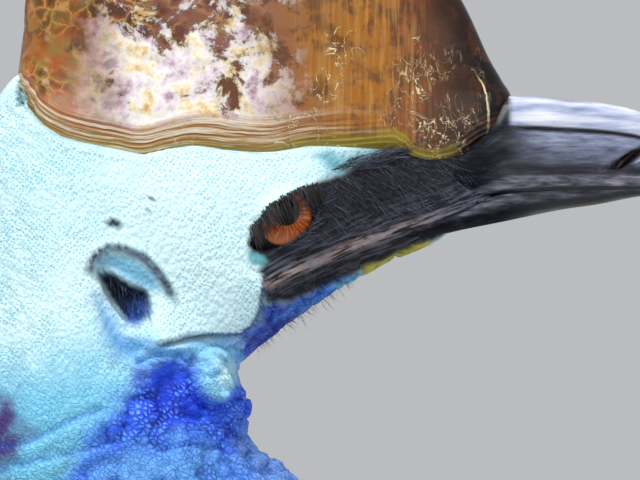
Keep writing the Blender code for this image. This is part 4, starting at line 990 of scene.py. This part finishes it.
def buildBill():
    finish = billMaterial()
    upper = piece("billUpper", loft(billRings(billSizes["upperRows"], upperProfile, billSizes["rings"])), finish,
                  ["bill_upper"])
    co, normal = cornersOf(upper) - eyeCentre, normalsOf(upper)
    side = co[:, [0, 2]]
    hole = inside(side, nostril)
    outerSide = np.abs(normal[:, 1]) > 0.3
    push = -0.0034 * smooth(0.0002, -0.0010, hole) * outerSide
    push += 0.0006 * bell(hole, 0.0006, 0.0007) * outerSide
    moved = co + normal * push[:, None]
    wall = billSizes["nostrilWall"]
    moved[:, 1] = np.where(np.abs(co[:, 1]) > wall, np.sign(co[:, 1]) * np.maximum(np.abs(moved[:, 1]), wall), co[:, 1])
    moveTo(upper, moved + eyeCentre)
    share = billHeight(billSizes["upperRows"], co)
    # mask of the painted highlight along the top of the upper bill
    store(upper, "culmenHighlight", smooth(0.675, 0.705, share) * smooth(0.0640, 0.0662, co[:, 0]))
    # mask of the painted shade inside the nostril
    store(upper, "hole", smooth(0.0001, -0.0006, hole) * outerSide)
    # mask of the painted highlight along the gape edge of the upper bill
    store(upper, "ridge", smooth(0.19, 0.14, share) * smooth(0.03, 0.06, share) * smooth(0.040, 0.060, co[:, 0]))
    # mask of the painted highlight at the top of the mound over the nostril
    store(upper, "moundHighlight", smooth(0.655, 0.61, share) * smooth(0.22, 0.46, share) * smooth(0.062, 0.078, co[:, 0]))
    store(upper, "matte", smooth(0.070, 0.054, co[:, 0]))
    lower = piece("billLower", loft(billRings(billSizes["lowerRows"], lowerProfile, billSizes["rings"])), finish,
                  ["bill_lower"])
    co = cornersOf(lower) - eyeCentre
    share = billHeight(billSizes["lowerRows"], co)
    for name in ("culmenHighlight", "hole", "moundHighlight"):
        store(lower, name, np.zeros(len(co)))
    # painted highlight along the upper edge of the lower bill
    store(lower, "ridge", 0.6 * smooth(0.35, 0.60, share) * smooth(1.0, 0.85, share))
    store(lower, "matte", smooth(0.080, 0.060, co[:, 0]))


buildBill()
print("bill")

eyeSizes = {"radius": 0.0144, "centreY": 0.0180, "irisRadius": 0.0080, "pupilRadius": 0.0040, "pupilAt": (0.0006, 0.0016)}
eyeFinish = {"iris": [(0.32, (0.06, 0.008, 0.001)), (0.48, (0.30, 0.050, 0.003)), (0.66, (0.62, 0.160, 0.012))],
             # pinkish colour of a painted reflection on the lower rim of the iris
             "irisLowReflection": (0.62, 0.22, 0.10), "rim": (0.012, 0.010, 0.012), "pupil": (0.001, 0.001, 0.001)}


def distanceIn(tree, x, z):
    return calc(tree, "SQRT", plus(tree, times(tree, x, x), times(tree, z, z)))


def eyeMaterial():
    made, tree, shader, where = newMaterial("eye", 0.08)
    parts = add(tree, "SeparateXYZ", {"Vector": where})
    dx = minus(tree, parts.outputs[0], eyeX)
    dz = minus(tree, parts.outputs[2], eyeZ)
    far = distanceIn(tree, dx, dz)
    px = minus(tree, dx, eyeSizes["pupilAt"][0])
    pz = minus(tree, dz, eyeSizes["pupilAt"][1])
    pupilFar = distanceIn(tree, px, pz)
    angle = calc(tree, "ARCTAN2", pz, px)
    rays = noiseAt(tree, add(tree, "CombineXYZ", {0: times(tree, angle, 6.0), 1: times(tree, far, 160.0),
                   2: 0.0}).outputs[0], 1.6, 4, 0.6)
    iris = ramp(tree, rays, eyeFinish["iris"])
    # painted reflection: pinkish light along the lower rim of the iris
    lowRimReflection = times(tree, span(tree, dz, -0.0030, -0.0070), 0.75)
    iris = blendColour(tree, lowRimReflection, iris, eyeFinish["irisLowReflection"])
    share = calc(tree, "DIVIDE", far, eyeSizes["irisRadius"])
    colour = blendColour(tree, ramp(tree, share, [(0.92, 0.0), (1.0, 1.0)]), iris, eyeFinish["rim"])
    pupil = ramp(tree, calc(tree, "DIVIDE", pupilFar, eyeSizes["pupilRadius"]), [(0.92, 1.0), (1.0, 0.0)])
    colour = blendColour(tree, pupil, colour, eyeFinish["pupil"])
    plug(tree, shader, colour=colour, coat=0.35, coatRough=0.02, rough=0.5, spec=0.15)
    return made


def buildEyes():
    finish = eyeMaterial()
    for name, side in sides.items():
        bm = bmesh.new()
        bmesh.ops.create_uvsphere(bm, u_segments=64, v_segments=40, radius=eyeSizes["radius"])
        bmesh.ops.rotate(bm, matrix=Matrix.Rotation(math.pi / 2, 3, "X"), verts=bm.verts)
        bmesh.ops.translate(bm, vec=(eyeX, side * eyeSizes["centreY"], eyeZ), verts=bm.verts)
        piece("eyeGlobe_" + name, outward(bm), finish, ["eye_" + name])


buildEyes()
print("eyes")


patchSize = 0.003  # of each strand's patch on the unwrap


def strandMesh(name, paths, widths, thick, away, finish, shade, roots=None):  # three sided, closed at both ends
    count, points = paths.shape[:2]
    ahead = np.empty_like(paths)
    ahead[:, 1:-1] = paths[:, 2:] - paths[:, :-2]
    ahead[:, 0], ahead[:, -1] = paths[:, 1] - paths[:, 0], paths[:, -1] - paths[:, -2]
    ahead /= np.linalg.norm(ahead, axis=2, keepdims=True) + 1e-12
    out = np.repeat(away[:, None, :], points, axis=1) if away.ndim == 2 else away
    out = out - ahead * np.sum(out * ahead, axis=2, keepdims=True)
    out /= np.linalg.norm(out, axis=2, keepdims=True) + 1e-12
    across = np.cross(out, ahead)
    w, h = widths[:, :, None], thick[:, :, None]
    # three corners at each point, four sided faces between points, a three sided cap at each end
    ring = np.stack([paths + across * w - out * h * 0.4, paths - across * w - out * h * 0.4, paths + out * h * 0.8], axis=2)
    co = ring.reshape(-1, 3)
    first = np.arange(count)[:, None] * points * 3
    here = first[:, :, None] + np.arange(points - 1)[None, :, None] * 3
    j = np.arange(3)[None, None, :]
    n = (j + 1) % 3
    quads = np.stack([here + j, here + 3 + j, here + 3 + n, here + n], axis=-1).reshape(-1, 4)
    capRoot = first + np.array([[0, 1, 2]])
    capTip = first + (points - 1) * 3 + np.array([[2, 1, 0]])
    mesh = bpy.data.meshes.new(name)
    mesh.vertices.add(len(co))
    mesh.vertices.foreach_set("co", co.ravel())
    loops = np.concatenate([quads.ravel(), capRoot.ravel(), capTip.ravel()]).astype(np.int32)
    starts = np.concatenate([np.arange(len(quads)) * 4, len(quads) * 4 + np.arange(2 * count) * 3]).astype(np.int32)
    mesh.loops.add(len(loops))
    mesh.loops.foreach_set("vertex_index", loops)
    mesh.polygons.add(len(starts))
    mesh.polygons.foreach_set("loop_start", starts)
    mesh.update(calc_edges=True)
    mesh.validate()
    mesh.shade_smooth()
    obj = bpy.data.objects.new(name, mesh)
    bpy.context.scene.collection.objects.link(obj)
    mesh.materials.append(finish)
    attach(obj, "root")
    store(obj, "shade", np.repeat(shade, points * 3))
    along = np.tile(np.repeat(np.linspace(0, 1, points), 3), count)
    store(obj, "along", along)
    if roots is not None:  # each strand is a small patch at its root's place on the unwrap
        uv = mesh.uv_layers.new(name="OFBake")
        corner = np.tile(np.tile([0.0, 1.0, 0.5], points), count)
        place = np.repeat(roots, points * 3, axis=0) + patchSize * np.c_[corner, along]
        index = np.empty(len(mesh.loops), np.int32)
        mesh.loops.foreach_get("vertex_index", index)
        uv.data.foreach_set("uv", place[index].astype(np.float32).ravel())
    return obj


def hairMaterial(name, dark, light, roughness):
    made, tree, shader = newMaterial(name, roughness)[:3]
    shade = stored(tree, "shade")
    along = stored(tree, "along")
    colour = blendColour(tree, shade, dark, light)
    tip = ramp(tree, along, [(0.55, 0.0), (1.0, 0.6)])
    colour = blendColour(tree, times(tree, tip, shade), colour, tuple(min(1, c * 2.2) for c in light))
    plug(tree, shader, colour=colour, rough=roughness, spec=0.5)
    return made


def hairs(name, starts, ways, lengths, width, finish, seed, bend=0.15, points=5):
    draw = np.random.default_rng(seed)
    count = len(starts)
    t = np.linspace(0, 1, points)[None, :, None]
    ways = ways / np.linalg.norm(ways, axis=1, keepdims=True)
    curl = draw.normal(0, bend, (count, 1, 3))
    paths = starts[:, None, :] + eyeCentre + lengths[:, None, None] * (ways[:, None, :] * t + curl * t ** 2)
    taper = np.linspace(1, 0.18, points)[None, :] * width * draw.uniform(0.7, 1.2, (count, 1))
    away = np.cross(ways, draw.normal(0, 1, (count, 3)))
    return strandMesh(name, paths, taper, taper, away, finish, draw.uniform(0, 1, count) ** 2)


def pairedHairs(name, starts, ways, lengths, *rest, **more):  # the same hairs on both sides of the head
    flip = np.array([1, -1, 1])
    hairs(name, np.vstack([starts, starts * flip]), np.vstack([ways, ways * flip]), np.tile(lengths, 2), *rest, **more)


def onSkin(points):  # the skin's outside at points of the side view, given from the eye
    co = cornersOf(skin) - eyeCentre
    right = co[(co[:, 1] < 0) & (co[:, 2] > -0.2)]
    found = []
    for u, w in points:
        near = right[(np.abs(right[:, 0] - u) < 0.0016) & (np.abs(right[:, 2] - w) < 0.0016)]
        found.append(near[:, 1].min() if len(near) else 0.0)
    return np.array(found)


def scatterIn(shape, count, draw):
    low, high = shape.min(0), shape.max(0)
    made = draw.uniform(low, high, (count * 6, 2))
    return made[inside(made, shape) < 0][:count]


hairColours = {  # darkest and lightest strands
    "bristle": ((0.003, 0.003, 0.005), (0.13, 0.15, 0.22)), "lash": ((0.003, 0.0025, 0.003), (0.045, 0.038, 0.045)),
    "plumage": ((0.006, 0.0055, 0.0055), (0.035, 0.030, 0.028)),
}
bristle = hairMaterial("bristle", *hairColours["bristle"], 0.40)
lash = hairMaterial("lash", *hairColours["lash"], 0.45)
lashSizes = {"upper": 190, "upperLength": (0.0050, 0.0080), "upperWidth": 0.00021,
             "lower": 60, "lowerLength": (0.003, 0.006), "lowerWidth": 0.00014}


def buildLashes():
    sizes, tilt = lashSizes, skinSizes["eyeTilt"]
    draw = np.random.default_rng(3)
    rim = almond(skinSizes, 0.0008, 96)
    ahead = rim @ np.array([math.cos(tilt), math.sin(tilt)])
    above = rim @ np.array([-math.sin(tilt), math.cos(tilt)])
    count = sizes["upper"]
    upper = rim[(above > 0.0006) & (ahead > -0.0098)]
    pick = upper[draw.integers(0, len(upper), count)] + draw.normal(0, 0.0004, (count, 2))
    starts = np.c_[pick[:, 0], onSkin(pick) - 0.0001, pick[:, 1]]
    ways = np.c_[0.34 + draw.normal(0, 0.10, count), -0.30 + draw.normal(0, 0.06, count),
                 -0.90 + draw.normal(0, 0.10, count)]
    pairedHairs("lashes", starts, ways, draw.uniform(*sizes["upperLength"], count), sizes["upperWidth"], lash, 5,
                bend=0.06, points=6)
    count = sizes["lower"]
    lower = rim[(above < -0.0010) & (ahead > -0.004)]
    pick = lower[draw.integers(0, len(lower), count)]
    starts = np.c_[pick[:, 0], onSkin(pick), pick[:, 1]]
    ways = np.c_[0.55 + draw.normal(0, 0.2, count), -0.5 + draw.normal(0, 0.1, count), 0.25 + draw.normal(0, 0.2, count)]
    pairedHairs("lowerLashes", starts, ways, draw.uniform(*sizes["lowerLength"], count), sizes["lowerWidth"], bristle, 6)


bristleGroups = [  # where in the side view, how many, which way, length, half width
    ([(300, 200), (330, 178), (400, 148), (470, 158), (500, 150), (520, 170), (440, 200), (340, 232), (310, 240)],
     460, (0.72, -0.08, -0.55), 0.0055, 0.00008),
    ([(330, 170), (350, 158), (404, 144), (412, 150), (360, 172)], 220, (0.88, -0.16, 0.26), 0.0060, 0.00011),
    ([(262, 276), (300, 250), (420, 200), (440, 214), (300, 262), (270, 284)],
     110, (0.86, -0.06, 0.42), 0.0045, 0.00007),
    ([(110, 276), (130, 286), (148, 292), (150, 312), (130, 316), (114, 298)],
     110, (0.10, -0.50, -0.62), 0.0045, 0.00010),
    ([(256, 330), (300, 306), (350, 280), (360, 284), (300, 322), (260, 352)],
     30, (0.50, -0.20, -0.55), 0.0030, 0.00006),
]
earBristles = {"count": 150, "length": (0.0010, 0.0024), "width": 0.00007, "middle": spot(128, 292)}
chinBristles = {"count": 150, "length": (0.0012, 0.0036), "width": 0.000045}


def buildBristles():
    draw = np.random.default_rng(8)
    for number, (outline, count, way, length, width) in enumerate(bristleGroups):
        pick = scatterIn(spots(outline), count, draw)
        y = onSkin(pick)
        pick, y = pick[y < -0.002], y[y < -0.002]
        starts = np.c_[pick[:, 0], y + 0.0004, pick[:, 1]]
        ways = np.array(way) + draw.normal(0, 0.16, (len(pick), 3))
        pairedHairs(f"bristles_{number}", starts, ways, length * draw.uniform(0.5, 1.3, len(pick)), width, bristle,
                    20 + number)
    # a fringe along the hood of the ear
    sizes = earBristles
    rim = curveAt([(a, b, 0) for a, b in earRim], draw.uniform(0, len(earRim) - 1, sizes["count"]))[:, :2]
    rim += draw.normal(0, 0.0004, rim.shape)
    starts = np.c_[rim[:, 0], onSkin(rim) + 0.0003, rim[:, 1]]
    toward = (rim - sizes["middle"]) / np.linalg.norm(rim - sizes["middle"], axis=1, keepdims=True)
    ways = np.c_[toward[:, 0] * 0.6 + 0.25, np.full(len(rim), -0.5), toward[:, 1] * 0.7]
    ways += draw.normal(0, 0.2, (len(rim), 3))
    pairedHairs("earBristles", starts, ways, draw.uniform(*sizes["length"], len(rim)), sizes["width"], bristle, 40)
    # a few hairs under the chin
    sizes = chinBristles
    co = cornersOf(skin) - eyeCentre
    rear, front = spot(254, 0)[0], spot(352, 0)[0]
    chin = co[(co[:, 0] > rear) & (co[:, 0] < front) & (co[:, 2] > -0.045) & (np.abs(co[:, 1]) < 0.016)]
    level = np.array([chin[np.abs(chin[:, 0] - x) < 0.0012][:, 2].min() for x in chin[:, 0]])
    chin = chin[chin[:, 2] < level + 0.0030]
    count = sizes["count"]
    starts = chin[draw.integers(0, len(chin), count)]
    ways = np.c_[0.5 + draw.normal(0, 0.3, count), starts[:, 1] * 12, -0.75 + draw.normal(0, 0.2, count)]
    hairs("chinBristles", starts, ways, draw.uniform(*sizes["length"], count), sizes["width"], bristle, 41)


buildLashes()
buildBristles()
print("bristles")

plumage = {"seed": 70, "count": 42000, "points": 5, "length": 0.165, "width": 0.0016, "thick": 0.0006, "coat": 0.027,
           "stationLength": 0.085, "tailEnd": 11.2, "pieces": 7}
bodyRows = [neckRows[-1]] + torsoRows


def bodyPoints(stations, angles, out):  # points over the core, and the direction away from it
    last = len(bodyRows) - 1
    rows = curveAt(bodyRows, np.minimum(stations.ravel(), last)).reshape(stations.shape + (5,))
    top = np.stack([rows[..., 0], np.zeros(stations.shape), rows[..., 1]], -1)
    bottom = np.stack([rows[..., 2], np.zeros(stations.shape), rows[..., 3]], -1)
    length = np.linalg.norm(top - bottom, axis=-1)
    up = (top - bottom) / length[..., None]
    c, s = np.cos(angles), np.sin(angles)
    c, s = np.sign(c) * np.abs(c) ** (2 / 2.25), np.sign(s) * np.abs(s) ** (2 / 2.25)
    middle = (top + bottom) / 2
    point = middle + up * ((length / 2 + out) * c)[..., None]
    point[..., 1] += (rows[..., 4] + out) * s
    point += np.array([-0.05, 0, -0.09]) * np.maximum(0, stations - last)[..., None]
    return point, point - middle


def featherWidths(width, t, grow, shape=(0.6, 1.3, 1.7)):  # widest past the middle, drawn to a point
    return np.maximum(width * (shape[0] + shape[1] * t - shape[2] * t ** 3) * grow, 0.00025)


def feathers():
    sizes = plumage
    draw = np.random.default_rng(sizes["seed"])
    count, points = sizes["count"], sizes["points"]
    station = draw.uniform(0.05, sizes["tailEnd"], count * 2)
    rows = curveAt(bodyRows, np.minimum(station, 11))
    girth = rows[:, 4] + np.hypot(rows[:, 0] - rows[:, 2], rows[:, 1] - rows[:, 3]) / 2
    keep = draw.uniform(0, 0.40, count * 2) < girth + 0.06  # more where the body is stout
    station = station[keep][:count]
    count = len(station)
    angle = draw.uniform(-np.pi, np.pi, count)
    clump = hashed((station * 9).astype(np.int64), (angle * 9).astype(np.int64) + 50, np.zeros(count, np.int64), 7)
    length = sizes["length"] * draw.uniform(0.55, 1.15, count) * smooth(-0.6, 1.6, station)
    t = np.linspace(0, 1, points)[None, :]
    low = np.where(np.abs(angle) < np.pi / 2, np.abs(np.sin(angle)), 1.0)[:, None]
    hem = np.maximum(0, -np.cos(angle))[:, None] * np.minimum(1, station / 3)[:, None]
    turned = angle[:, None] + np.sign(angle)[:, None] * 0.42 * low * t * (1 - hem)
    turned = turned + (clump[:, None] - 0.5) * 0.16 * t ** 2
    depth = sizes["coat"] * draw.uniform(0.25, 1.0, count)[:, None]
    out = -0.008 + (0.008 + depth) * np.sin(np.minimum(1, 1.6 * t) * np.pi / 2)
    stations = station[:, None] + length[:, None] / sizes["stationLength"] * (1 - 0.55 * hem) * t
    past = np.maximum(0, stations - sizes["tailEnd"])
    stations = np.minimum(stations, sizes["tailEnd"] + 0.68 * past)
    paths, away = bodyPoints(stations, turned, out)
    rearward = smooth(5.5, 9.0, station)[:, None]
    droop = 0.12 * low + (0.34 + 0.45 * rearward) * hem + 0.30 * rearward * low
    paths[..., 2] -= length[:, None] * droop * t ** 2
    paths += draw.normal(0, 0.004, (count, 1, 3)) * t[..., None] ** 2
    paths += eyeCentre
    widths = featherWidths(sizes["width"], t, draw.uniform(0.7, 1.25, count)[:, None], (0.55, 1.5, 1.85))
    thick = np.repeat(sizes["thick"] * (1 - 0.7 * t), count, axis=0)
    roots = np.c_[0.02 + station / 12 * 0.60, 0.02 + (angle / (2 * np.pi) + 0.5) * 0.96]
    shade = draw.uniform(0, 1, count) ** 2 * (0.4 + 0.6 * clump)
    order = np.argsort(station)
    return paths, widths, thick, away, roots, shade, order[paths[order, -1, 2] > 0.52]  # none hangs to the shanks


def buildPlumage():
    finish = hairMaterial("plumage", *hairColours["plumage"], 0.5)
    paths, widths, thick, away, roots, shade, order = feathers()
    for number, part in enumerate(np.array_split(order, plumage["pieces"])):
        strandMesh(f"coat_{number}", paths[part], widths[part], thick[part], away[part], finish, shade[part],
                   roots[part])
    return finish


thighCoat = {"count": 6400, "points": 5, "length": (0.045, 0.095), "width": 0.0012, "thick": 0.0006, "coat": 0.016,
             "step": 0.0105}


def buildThighCoat(finish):
    sizes = thighCoat
    for number, (name, side) in enumerate(sides.items()):
        draw = np.random.default_rng(90 + number)
        path, across, upright = (np.array(rows) for rows in thighRings(side, strides[name]))
        count, last = sizes["count"], len(path) - 1
        start = draw.uniform(6, 36.5, count)
        angle = draw.uniform(-np.pi, np.pi, count)
        length = draw.uniform(*sizes["length"], count) * (1 - 0.35 * smooth(30, 37, start))
        t = np.linspace(0, 1, sizes["points"])[None, :]
        along = start[:, None] + length[:, None] / sizes["step"] * t
        index = np.clip(along, 0, last - 0.001)
        i = index.astype(int)
        f = index - i
        middle = path[i] * (1 - f[..., None]) + path[i + 1] * f[..., None]
        wide = across[i] * (1 - f) + across[i + 1] * f
        deep = upright[i] * (1 - f) + upright[i + 1] * f
        reach = 0.004 + sizes["coat"] * draw.uniform(0.3, 1, count)[:, None]
        out = -0.004 + reach * np.sin(np.minimum(1, 1.5 * t) * np.pi / 2)
        offset = np.stack([(deep + out) * np.cos(angle)[:, None], (wide + out) * np.sin(angle)[:, None], 0 * out], -1)
        points = middle + offset
        points[..., 2] -= np.maximum(0, along - last) * 0.009
        widths = featherWidths(sizes["width"], t, draw.uniform(0.7, 1.2, count)[:, None])
        thick = np.repeat(sizes["thick"] * (1 - 0.7 * t), count, axis=0)
        roots = np.c_[0.66 + start / 40 * 0.3, 0.02 + 0.48 * number + (angle / (2 * np.pi) + 0.5) * 0.46]
        strandMesh("coatThigh_" + name, points, widths, thick, offset, finish,
                   draw.uniform(0, 0.8, count) ** 2, roots)


wingCoat = {"count": 1300, "points": 5, "length": (0.06, 0.13), "width": 0.0013, "thick": 0.0006, "past": 0.006,
            "top": (-0.004, 0, -0.018), "back": (-0.135, 0, -0.088), "way": (-0.62, 0, -0.70)}


def buildWingCoat(finish):  # small feathers over the arm of each wing
    sizes = wingCoat
    for number, (name, side) in enumerate(sides.items()):
        draw = np.random.default_rng(95 + number)
        low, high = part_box("wing_" + name)
        outer = low.y if side < 0 else high.y
        corner = np.array([high.x, 0, high.z])
        top, back = corner + np.array(sizes["top"]), corner + np.array(sizes["back"])
        count = sizes["count"]
        share = draw.uniform(0, 1, count)
        roots = top * (1 - share[:, None]) + back * share[:, None]
        roots[:, 2] += draw.uniform(-0.026, 0.022, count)
        roots[:, 1] = outer - side * draw.uniform(0.020, 0.072, count)
        roots[:, 2] += 0.35 * np.abs(roots[:, 1] - outer)
        t = np.linspace(0, 1, sizes["points"])[None, :]
        length = draw.uniform(*sizes["length"], count)[:, None, None]
        way = np.array(sizes["way"]) + draw.normal(0, 0.09, (count, 1, 3))
        paths = roots[:, None, :] + length * way * t[..., None]
        paths[..., 1] += side * (0.020 * np.sin(np.minimum(1, 1.7 * t) * np.pi / 2) + 0.004 * t)
        paths[..., 1] = side * np.minimum(side * paths[..., 1], abs(outer) + sizes["past"])
        widths = featherWidths(sizes["width"], t, np.ones((count, 1)))
        thick = np.repeat(sizes["thick"] * (1 - 0.7 * t), count, axis=0)
        place = np.c_[0.20 + 0.03 * share, 0.25 + 0.5 * number + draw.uniform(-0.02, 0.02, count)]
        strandMesh("coatWing_" + name, paths, widths, thick, np.tile([0.0, side, 0.1], (count, 1)), finish,
                   draw.uniform(0, 0.8, count) ** 2, place)


plumageFinish = buildPlumage()
buildThighCoat(plumageFinish)
buildWingCoat(plumageFinish)
print("plumage")

wattleSizes = {"rings": 60, "sides": 40, "top": -0.16, "length": 0.135, "forward": -0.024, "apart": (0.010, 0.026),
               "reds": [(0.3, (0.62, 0.035, 0.02)), (0.6, (0.75, 0.10, 0.06)), (0.9, (0.45, 0.02, 0.02))]}


def wattleMaterial():
    made, tree, shader, where = newMaterial("wattle", 0.42)
    warts = cells(tree, where, 260, "SMOOTH_F1")
    cloud = noiseAt(tree, where, 60, 4)
    colour = ramp(tree, plus(tree, times(tree, warts, 0.7), times(tree, cloud, 0.5)), wattleSizes["reds"])
    plug(tree, shader, colour=colour, normal=bump(tree, warts, 0.7, 0.0015))
    return made


def buildWattles():
    sizes, finish = wattleSizes, wattleMaterial()
    for name, side in sides.items():
        rings = []
        for t in np.linspace(0, 1, sizes["rings"]):
            x = eyeX + sizes["forward"] + 0.012 * math.sin(min(1.0, t * 4) * math.pi / 2) + 0.010 * t
            y = side * (sizes["apart"][0] * (1 - t) + sizes["apart"][1] * t)
            bulb = math.sin(math.pi * min(1.0, 0.12 + 0.88 * t) ** 1.5) ** 0.7 if t < 1 else 0.1
            wide, deep = 0.0045 + 0.0145 * bulb * t ** 0.6, 0.0040 + 0.0045 * bulb
            ring = []
            for k in range(sizes["sides"]):
                a = 2 * math.pi * k / sizes["sides"]
                fold = 1 + 0.10 * math.sin(5 * a + 3 * t) * math.sin(9 * t + side)
                ring.append((x + wide * fold * math.cos(a), y + deep * fold * math.sin(a),
                             eyeZ + sizes["top"] - sizes["length"] * t))
            rings.append(ring)
        piece("wattleFlesh_" + name, loft(rings), finish, ["wattle_" + name])


buildWattles()
print("wattles")


hornColours = {
    "scales": [(0.35, (0.13, 0.11, 0.085)), (0.5, (0.24, 0.21, 0.17)), (0.65, (0.34, 0.31, 0.26))],
    "scaleEdges": (0.05, 0.042, 0.035), "claws": [(0.35, (0.018, 0.015, 0.013)), (0.65, (0.11, 0.09, 0.07))],
    "quills": [(0.35, (0.005, 0.005, 0.006)), (0.7, (0.016, 0.015, 0.015))],
}


def scaleMaterial():
    made, tree, shader, where = newMaterial("legScale", 0.55)
    plates = cells(tree, stretched(tree, where, (1, 1, 0.7)), 170, "DISTANCE_TO_EDGE")
    cloud = noiseAt(tree, where, 35, 4)
    colour = ramp(tree, cloud, hornColours["scales"])
    colour = blendColour(tree, ramp(tree, plates, [(0.02, 1.0), (0.09, 0.0)]), colour, hornColours["scaleEdges"])
    plug(tree, shader, colour=colour, normal=bump(tree, ramp(tree, plates, [(0.0, 0.0), (0.16, 1.0)]), 0.6, 0.0012))
    return made


def clawMaterial():
    made, tree, shader, where = newMaterial("claw", 0.3)
    worn = grainIn(tree, where, (60, 300, 300))
    plug(tree, shader, colour=ramp(tree, worn, hornColours["claws"]),
         normal=bump(tree, worn, 0.3, 0.0006), coat=0.3)
    return made


def quillMaterial():
    made, tree, shader, where = newMaterial("quill", 0.25)
    worn = noiseAt(tree, where, 90, 3)
    plug(tree, shader, colour=ramp(tree, worn, hornColours["quills"]), rough=0.4)
    return made


def dress(node, finish):
    for place in frame["nodes"][node].material_slots:
        place.material = finish


scaleFinish, clawFinish, quillFinish = scaleMaterial(), clawMaterial(), quillMaterial()
for name in sides:
    dress("shank_" + name, scaleFinish)
    dress("foot_" + name, scaleFinish)
    dress("wing_" + name, quillFinish)
    for which in ("inner", "middle", "outer"):
        dress(f"claw_{which}_{name}", clawFinish)
print("legs")

studio = {"floor": 45.0, "floorColour": (0.60, 0.60, 0.60), "world": (0.62, 0.63, 0.65), "worldStrength": 0.80,
          "distance": 2.5, "frameWidth": 0.1824, "shift": (0.01026, -0.00627),
          "lights": {"key": ((-0.9, -1.6, 1.9), 1.2, 60), "fill": ((1.6, -1.9, 0.4), 1.6, 14),
                     "back": ((-0.6, 1.6, 1.6), 1.2, 30)}}  # place from the eye, size, power


def buildStudio():
    bm = bmesh.new()
    bmesh.ops.create_grid(bm, x_segments=1, y_segments=1, size=studio["floor"])
    mesh = bpy.data.meshes.new("floor")
    bm.to_mesh(mesh)
    bm.free()
    floor = bpy.data.objects.new("floor", mesh)
    bpy.context.scene.collection.objects.link(floor)
    made, tree, shader = newMaterial("floor", 0.8)[:3]
    plug(tree, shader, colour=studio["floorColour"])
    mesh.materials.append(made)
    world = bpy.data.worlds.new("studio")
    world.use_nodes = True
    world.node_tree.nodes["Background"].inputs["Color"].default_value = (*studio["world"], 1)
    world.node_tree.nodes["Background"].inputs["Strength"].default_value = studio["worldStrength"]
    bpy.context.scene.world = world
    head = Vector(eyeCentre)
    for name, (place, size, power) in studio["lights"].items():
        light = bpy.data.lights.new(name, "AREA")
        light.energy, light.size = power, size
        lamp = bpy.data.objects.new(name, light)
        bpy.context.scene.collection.objects.link(lamp)
        lamp.location = head + Vector(place)
        lamp.rotation_euler = (-Vector(place)).to_track_quat("-Z", "Y").to_euler()
    lens = bpy.data.cameras.new("camera")
    camera = bpy.data.objects.new("camera", lens)
    bpy.context.scene.collection.objects.link(camera)
    lens.sensor_width = 36
    lens.lens = 36 * studio["distance"] / studio["frameWidth"]
    lens.clip_end = 200
    camera.location = (eyeX + studio["shift"][0], -0.03 - studio["distance"], eyeZ + studio["shift"][1])
    camera.rotation_euler = (math.pi / 2, 0, 0)
    bpy.context.scene.camera = camera


buildStudio()
print("studio")
